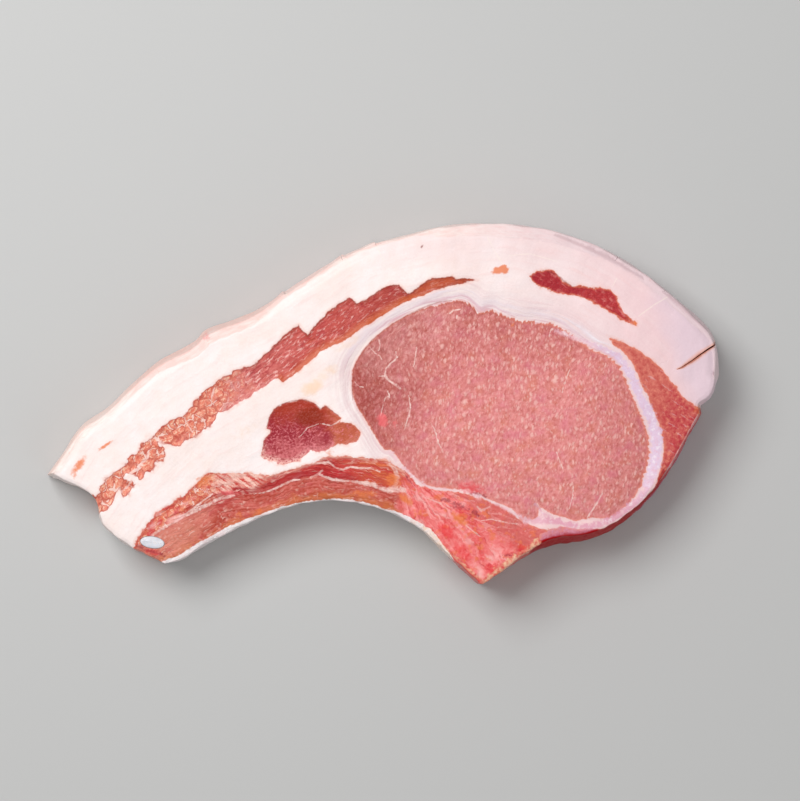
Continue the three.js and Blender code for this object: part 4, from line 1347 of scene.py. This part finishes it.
    # raw red along its left edge, and torn cream and red along its right one
    rim = (inner + fine * 0.2 + middle * 0.2).ramp(1.2, 0.5) * x.ramp(16, 20)
    tip = s.colour(rim * 0.7, tip, tones["ribRed"])
    torn = (inner - 1.1 + fine * 0.5 + middle * 0.6).ramp(0.5, -0.3) * x.ramp(27, 30)
    torn = torn * (at["z"] + middle * 3).ramp(15, 18)
    frayed = s.colour((0.55 + grey * 0.9).held(), tones["cream"], tones["tipDeep"])
    tip = s.colour(torn, tip, frayed)
    toTip = (x - y * 0.15 + middle * 1.5).ramp(7, 12)
    return s.colour(toTip, rib, tip), mix(ribRelief, strand * 0.2 + wet * 0.06 + fine * 0.03, toTip)


def sideSurface(s, at, depth):
    tones = meatTones
    x, y, z, fine, middle = at["x"], at["y"], at["z"], at["fine"], at["middle"]
    around = s.joined(at["aroundX"] / 5, at["aroundY"] / 5, s.field("eye") / 1.3 + fine * 0.25)
    fibre = s.noise(around, 1.0, 2, 0.6)
    mottle = s.noise(at["shaken"], 1.1, 2, 0.65)
    side = s.colour((0.4 + mottle * 0.45 + fibre * 0.35).held(), tones["side"], tones["sideDeep"])
    crimson = (x - 74 + middle * 3).ramp(2, 9) * (y + middle * 3).ramp(9, 1)
    side = painted(s, side, [
        ((crimson * (0.45 + mottle * 0.5)).held(), "sideRed"),
        ((-0.2 - mottle + fibre * 0.3).ramp(0.0, 1.0) * 0.45, "thin"),
        (depth.ramp(0.8, 0.1) * 0.35, "thin"),
    ])
    pale = s.noise(turned(s, at["shaken"], -35, 0.25, 1.6), 1.0, 1)
    side = s.colour(pale.ramp(0.6, 1.0) * 0.35, side, tones["sideRim"])
    # the skinned wall is dark crimson, with a pale torn rim above and a lilac film below
    edge = s.field("membraneDepth")
    wall = (edge + fine * 0.3 + middle * 0.3).ramp(1.5, 0.5) * (y + middle * 2).ramp(-14, -24)
    wall = wall.most((edge + fine * 0.1).ramp(0.0, -0.4) * 0.8)
    side = s.colour((wall * (1 + middle * 0.15)).held(), side, tones["sideWall"])
    lilac = (z + middle * 4 + fine).ramp(13, 6) * x.ramp(70, 78) * edge.ramp(0.3, 0.0)
    side = s.colour(lilac * 0.7, side, tones["sideTorn"])
    low = (y + middle * 2).ramp(-28, -33) * edge.ramp(0.2, 0.8)
    side = s.colour(low * (0.55 + mottle * 0.4).held(), side, tones["seamPink"])
    rim = (edge - 0.1 + fine * 0.08).size().ramp(0.3, 0.1) * y.ramp(2, -5) * y.ramp(-25, -17)
    rim = rim * (z + middle * 2).ramp(16, 19)
    side = s.colour(rim * (0.45 + middle * 0.4).held(), side, tones["sideRim"])
    film = (edge + fine * 0.2).ramp(0.1, -0.3) * x.ramp(52, 46) * (z + middle * 3).ramp(12, 6)
    side = s.colour(film * (0.65 + fine * 0.4).held(), side, tones["sideTorn"])
    return side, fibre * 0.07 + mottle * 0.05


def marked(s, at, colour):
    # everything drawn over the regions: fat lines, score cuts, blood and stains, and painted shade in the
    # rind's crease
    tones = meatTones
    for share, into, strength in at["marks"]:
        colour = s.colour(share * strength, colour, tones[into])
    return s.colour(at["seamShare"], colour, at["seamTone"])


# a group of spots, its tone and its strength
spotCoats = [
    ("pale", "tipPale", 0.55), ("orange", "orange", 0.88), ("blood", "blood", 0.6), ("flush", "flush", 0.65),
    ("deep", "lumpDark", 0.75), ("crimson", "crimson", 0.65),
]


def findMarks(s, at):
    fine, middle, x, y = at["fine"], at["middle"], at["x"], at["y"]
    # the last mark in this list is painted shade: a dark line in the crease by the rind
    marks = [(strokeShare(s, at, "brownRim", 0.1, 0.8), "eyeBrown", 0.5),
             (strokeShare(s, at, "vein", 0.16) * (0.65 + fine * 0.35 + middle * 0.4).held(), "line", 0.8),
             (strokeShare(s, at, "strand", 0.12) * (0.65 + middle * 0.4).held(), "line", 0.6),
             (strokeShare(s, at, "tipStrand", 0.3, 0.9) * (0.6 + fine * 0.4).held(), "tipStrand", 0.6),
             (strokeShare(s, at, "score", 0.05, 0.9), "score", 0.45),
             (strokeShare(s, at, "creaseShade", 0.2, 0.95), "creaseShade", 0.3)]
    for name, into, strength in spotCoats:
        field = s.field(name + "Spot")
        share = (field + fine * 0.28 + middle * 0.22 - 0.1).ramp(0.0, 0.95) * field.ramp(0.0, 0.2)
        marks.append((share, into, strength))
    stain = s.field("stainSpot")
    marks.append(((stain + middle * 0.3).ramp(0.0, 1.0) * stain.ramp(0.0, 0.3), "stain", 0.75))
    creamy = (0.5 + fine * 0.5 + middle * 0.3).held()
    marks.append((strokeShare(s, at, "cream", 0.3, 0.7) * creamy, "cream", 0.75))
    marks.append((strokeShare(s, at, "clot", 0.45, 0.85) * (0.7 + fine * 0.5).held(), "clot", 0.72))

    # the membrane on the curved inner side, turning to bone colour round the tip
    inner = s.field("membraneDepth")
    skinned = (inner - s.field("membraneWidth") + fine * 0.12 + middle * 0.25).ramp(0.2, -0.15)
    skinned = skinned * x.ramp(-67, -63) * (x + fine).ramp(26, 22)
    marks.append((skinned, "membrane", 0.95))
    marks.append((skinned * (0.1 + middle * 0.5 + fine * 0.2).held(), "membranePink", 0.8))
    marks.append((skinned * (x + middle * 3).ramp(7, 13) * (0.6 + fine * 0.3).held(), "bone", 0.8))
    # the open score cut: an orange halo, a brown line, and dull inside
    slitX, slitY, slitFar = s.parts(s.fieldVector("slit"))
    halo = s.vector("LENGTH", s.joined(slitX, slitY + 0.15, 0.0), output=1) / (s.field("slitWidth") * 3)
    marks.append((halo.ramp(1.2, 0.3), "slitHalo", 0.6))
    marks.append((strokeShare(s, at, "slit", 0.03, 0.7), "slit", 0.85))
    marks.append((slitFar.ramp(0.5, 0.3) * at["z"].ramp(20.5, 19.0), "slitDeep", 0.5))
    at["marks"] = marks

    # the seams, ragged where the muscles' fibres run into them; they hardly show on the skinned wall
    comb = s.noise(s.joined(at["aroundX"], at["aroundY"], s.field("eye") / 4), 1.0, 1)
    at["comb"] = comb
    shift = s.joined(comb * 0.45, middle * 0.35 + fine * 0.15, 0.0)
    seamX, seamY, seamFar = s.parts(s.vector("ADD", s.fieldVector("seam"), shift))
    seamFar = s.vector("LENGTH", s.joined(seamX, seamY, 0.0), output=1).most(seamFar - 0.35)
    share = (s.field("seamWidth") * (1 + middle * 0.45) - seamFar + fine * 0.3).ramp(-0.5, 0.4)
    cloud = s.noise(s.vector("ADD", at["shaken"], (2, 9, 0)), 1.3, 2, 0.65)
    seam = painted(s, meatTones["seam"], [
        ((-y + middle * 5).ramp(16, 30) * x.ramp(35, 50), "seamPink"),
        ((x + middle * 6).ramp(56, 70) * (y + middle * 4).ramp(-32, -16), "seamCool"),
        (cloud.ramp(0.0, 0.9) * 0.55, "membrane"),
        ((-0.1 - cloud).ramp(0.0, 0.9) * 0.6, "seamPink"),
    ])
    share = share * (at["z"] + middle * 1.5).ramp(18.5, 20.5).most(y.ramp(-24, -20))
    at["seamShare"], at["seamTone"] = share * (0.84 + cloud * 0.14).held(), seam


surfaces = {
    "streak": streakSurface, "smallStreak": smallStreakSurface, "lump": lumpSurface, "rib": ribSurface,
    "sideMuscle": sideSurface, "eye": eyeSurface,
}
# glow is how far the lean lightens at its thin edge
moist = {"glow": 0.3, "coat": 0.12, "shine": 0.35}
finishes = {
    "fat": {"coat": 0.08, "shine": 0.35}, "streak": {**moist, "glow": 0.0}, "smallStreak": moist,
    "lump": {**moist, "glow": 0.2}, "rib": moist, "sideMuscle": {"glow": 0.2, "coat": 0.0, "shine": 0.08},
    "eye": moist,
}


def finished(s, colour, relief, rough, finish):
    bump = s.add("ShaderNodeBump", {}, {"Height": relief, "Distance": 1 * mm, "Strength": 1.0})
    return s.add("ShaderNodeBsdfPrincipled", {}, {
        "Base Color": colour, "Roughness": rough, "Normal": bump, "IOR": 1.33,
        "Specular IOR Level": finish["shine"], "Coat Weight": finish["coat"], "Coat Roughness": 0.2})


def porkShader():
    s = Shader("rawPork")
    at = commonWires(s)
    findMarks(s, at)
    x, y, fine, middle, comb = at["x"], at["y"], at["fine"], at["middle"], at["comb"]
    drift = s.noise(s.vector("ADD", at["flat"], (8, 2, 0)), 1.8, 1)
    bend = s.joined(fine * 0.25 + middle * 0.4, drift * 0.45, 0.0)
    at["lobePlace"] = s.vector("ADD", turned(s, s.fieldVector("streakFlow"), 12, 0.8, 1.0), bend)
    heart = s.cells(at["lobePlace"], lobeSize)
    lobes = (0.42 - heart) * 1.3 * (x + middle * 6).ramp(-26, -50)
    combed = (x + y * 0.8).ramp(22, 50) * (1 + y.ramp(14, 22) * 0.4)
    # below the cut edge the wall is all lean
    cutWall = at["z"].ramp(20.5, 17) * y.ramp(-24, -28) * 3
    depth = {
        "streak": s.field("streak") + lobes + fine * 0.12 + middle * 0.25,
        "smallStreak": s.field("smallStreak") + fine * 0.2 + middle * 0.4,
        "lump": s.field("lump") + fine * 0.15 + middle * (0.15 + (-y).ramp(9, 13) * 0.4),
        "rib": s.field("rib") + fine * 0.15 + middle * 0.55,
        "sideMuscle": s.field("sideMuscle") + cutWall + fine * 0.12 + middle * 0.35,
        "eye": s.field("eye") + fine * 0.15 + comb * (0.08 + combed * 0.4),
    }
    leanDepth = depth["streak"]
    for field in depth.values():
        leanDepth = leanDepth.most(field)
    # the comb only frays the loin muscle's edge: its pattern keeps to the plain depth
    patternDepth = {**depth, "eye": s.field("eye")}
    inside = {name: surfaces[name](s, at, patternDepth[name]) for name in depth}

    colour, relief = fatSurface(s, at, leanDepth)
    surface = finished(s, marked(s, at, colour), relief, (0.5 + middle * 0.04).held(), finishes["fat"])
    for name, (colour, relief) in inside.items():
        colour = s.colour(depth[name].ramp(0.7, 0.05) * finishes[name]["glow"], colour, meatTones["thin"])
        lean = finished(s, marked(s, at, colour), relief, (0.4 + fine * 0.06).held(), finishes[name])
        surface = s.add("ShaderNodeMixShader", {}, {0: depth[name].ramp(-0.2, 0.2), 1: surface, 2: lean})
    s.add("ShaderNodeOutputMaterial", {}, {"Surface": surface})
    return s.material


porkChop.data.materials.clear()
porkChop.data.materials.append(porkShader())
deselectAll()
porkChop.select_set(True)
bpy.context.view_layer.objects.active = porkChop
bpy.ops.object.shade_smooth_by_angle(angle=smoothAngle)
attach(porkChop, "root")
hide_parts("chop")


print("cartilage")


def addCartilage():
    thickness = chopShape["tailThickness"] + cartilage["proud"]
    rod = ovalRod(0, cartilage["lift"], thickness)
    rod.name = "ribCartilage"
    bpy.ops.object.mode_set(mode="EDIT")
    bpy.ops.mesh.select_all(action="DESELECT")
    editMesh = bmesh.from_edit_mesh(rod.data)
    for face in editMesh.faces:
        face.select_set(face.normal.z > 0.9)
    bmesh.update_edit_mesh(rod.data)
    for inset, lift in cartilage["insets"]:
        bpy.ops.mesh.inset(thickness=inset * mm, depth=lift * mm)
    bpy.ops.object.mode_set(mode="OBJECT")
    bevel = rod.modifiers.new("edge", "BEVEL")
    bevel.width, bevel.segments, bevel.limit_method = cartilage["edge"] * mm, cartilage["edgeSteps"], "ANGLE"
    bpy.ops.object.modifier_apply(modifier=bevel.name)
    bpy.ops.object.shade_smooth_by_angle(angle=smoothAngle)
    return rod


def cartilageShader():
    s = Shader("cartilage")
    place = s.scaled(s.add("ShaderNodeTexCoord", output=3), 1 / mm)
    cloud = s.noise(place, 1.6, 3)
    colour = s.colour((0.4 + cloud * 0.5).held(), cartilage["light"], cartilage["shade"])
    bump = s.add("ShaderNodeBump", {}, {"Height": cloud * 0.06, "Distance": 1 * mm})
    surface = s.add("ShaderNodeBsdfPrincipled", {}, {
        "Base Color": colour, "Roughness": (0.3 + cloud * 0.05).held(), "Normal": bump,
        "Subsurface Weight": 0.2, "Subsurface Radius": (0.8, 0.6, 0.5), "Subsurface Scale": 0.002})
    s.add("ShaderNodeOutputMaterial", {}, {"Surface": surface})
    return s.material


ribCartilage = addCartilage()
ribCartilage.data.materials.clear()
ribCartilage.data.materials.append(cartilageShader())
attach(ribCartilage, "root")
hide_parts("rib_cartilage")


print("table and light")

studio = {
    "floorTone": tone(196, 196, 195), "floorSize": 3.0,
    "keyPower": 6.3, "keySize": 0.5, "keyFrom": (-0.35, 0.35, 0.75),
    "fillPower": 2.0, "fillSize": 0.9, "fillFrom": (0.6, -0.5, 0.7),
    "skyTone": (1.0, 1.0, 1.0, 1), "skyStrength": 0.31,
}


def addFloor():
    deselectAll()
    bpy.ops.mesh.primitive_plane_add(size=studio["floorSize"], location=(0, 0, -0.0002))
    floor = bpy.context.object
    floor.name = "floor"
    s = Shader("pale floor")
    surface = s.add("ShaderNodeBsdfPrincipled", {}, {"Base Color": studio["floorTone"], "Roughness": 0.7})
    s.add("ShaderNodeOutputMaterial", {}, {"Surface": surface})
    floor.data.materials.append(s.material)


def addLight(name, power, size, position):
    light = bpy.data.lights.new(name, "AREA")
    light.energy, light.size = power, size
    lamp = bpy.data.objects.new(name, light)
    lamp.location = position
    aim = -lamp.location
    lamp.rotation_euler = aim.to_track_quat("-Z", "Y").to_euler()
    bpy.context.scene.collection.objects.link(lamp)


addFloor()
addLight("key", studio["keyPower"], studio["keySize"], studio["keyFrom"])
addLight("fill", studio["fillPower"], studio["fillSize"], studio["fillFrom"])
world = bpy.data.worlds.new("studio")
world.use_nodes = True
world.node_tree.nodes["Background"].inputs["Color"].default_value = studio["skyTone"]
world.node_tree.nodes["Background"].inputs["Strength"].default_value = studio["skyStrength"]
bpy.context.scene.world = world
bpy.context.scene.view_settings.view_transform = "Standard"
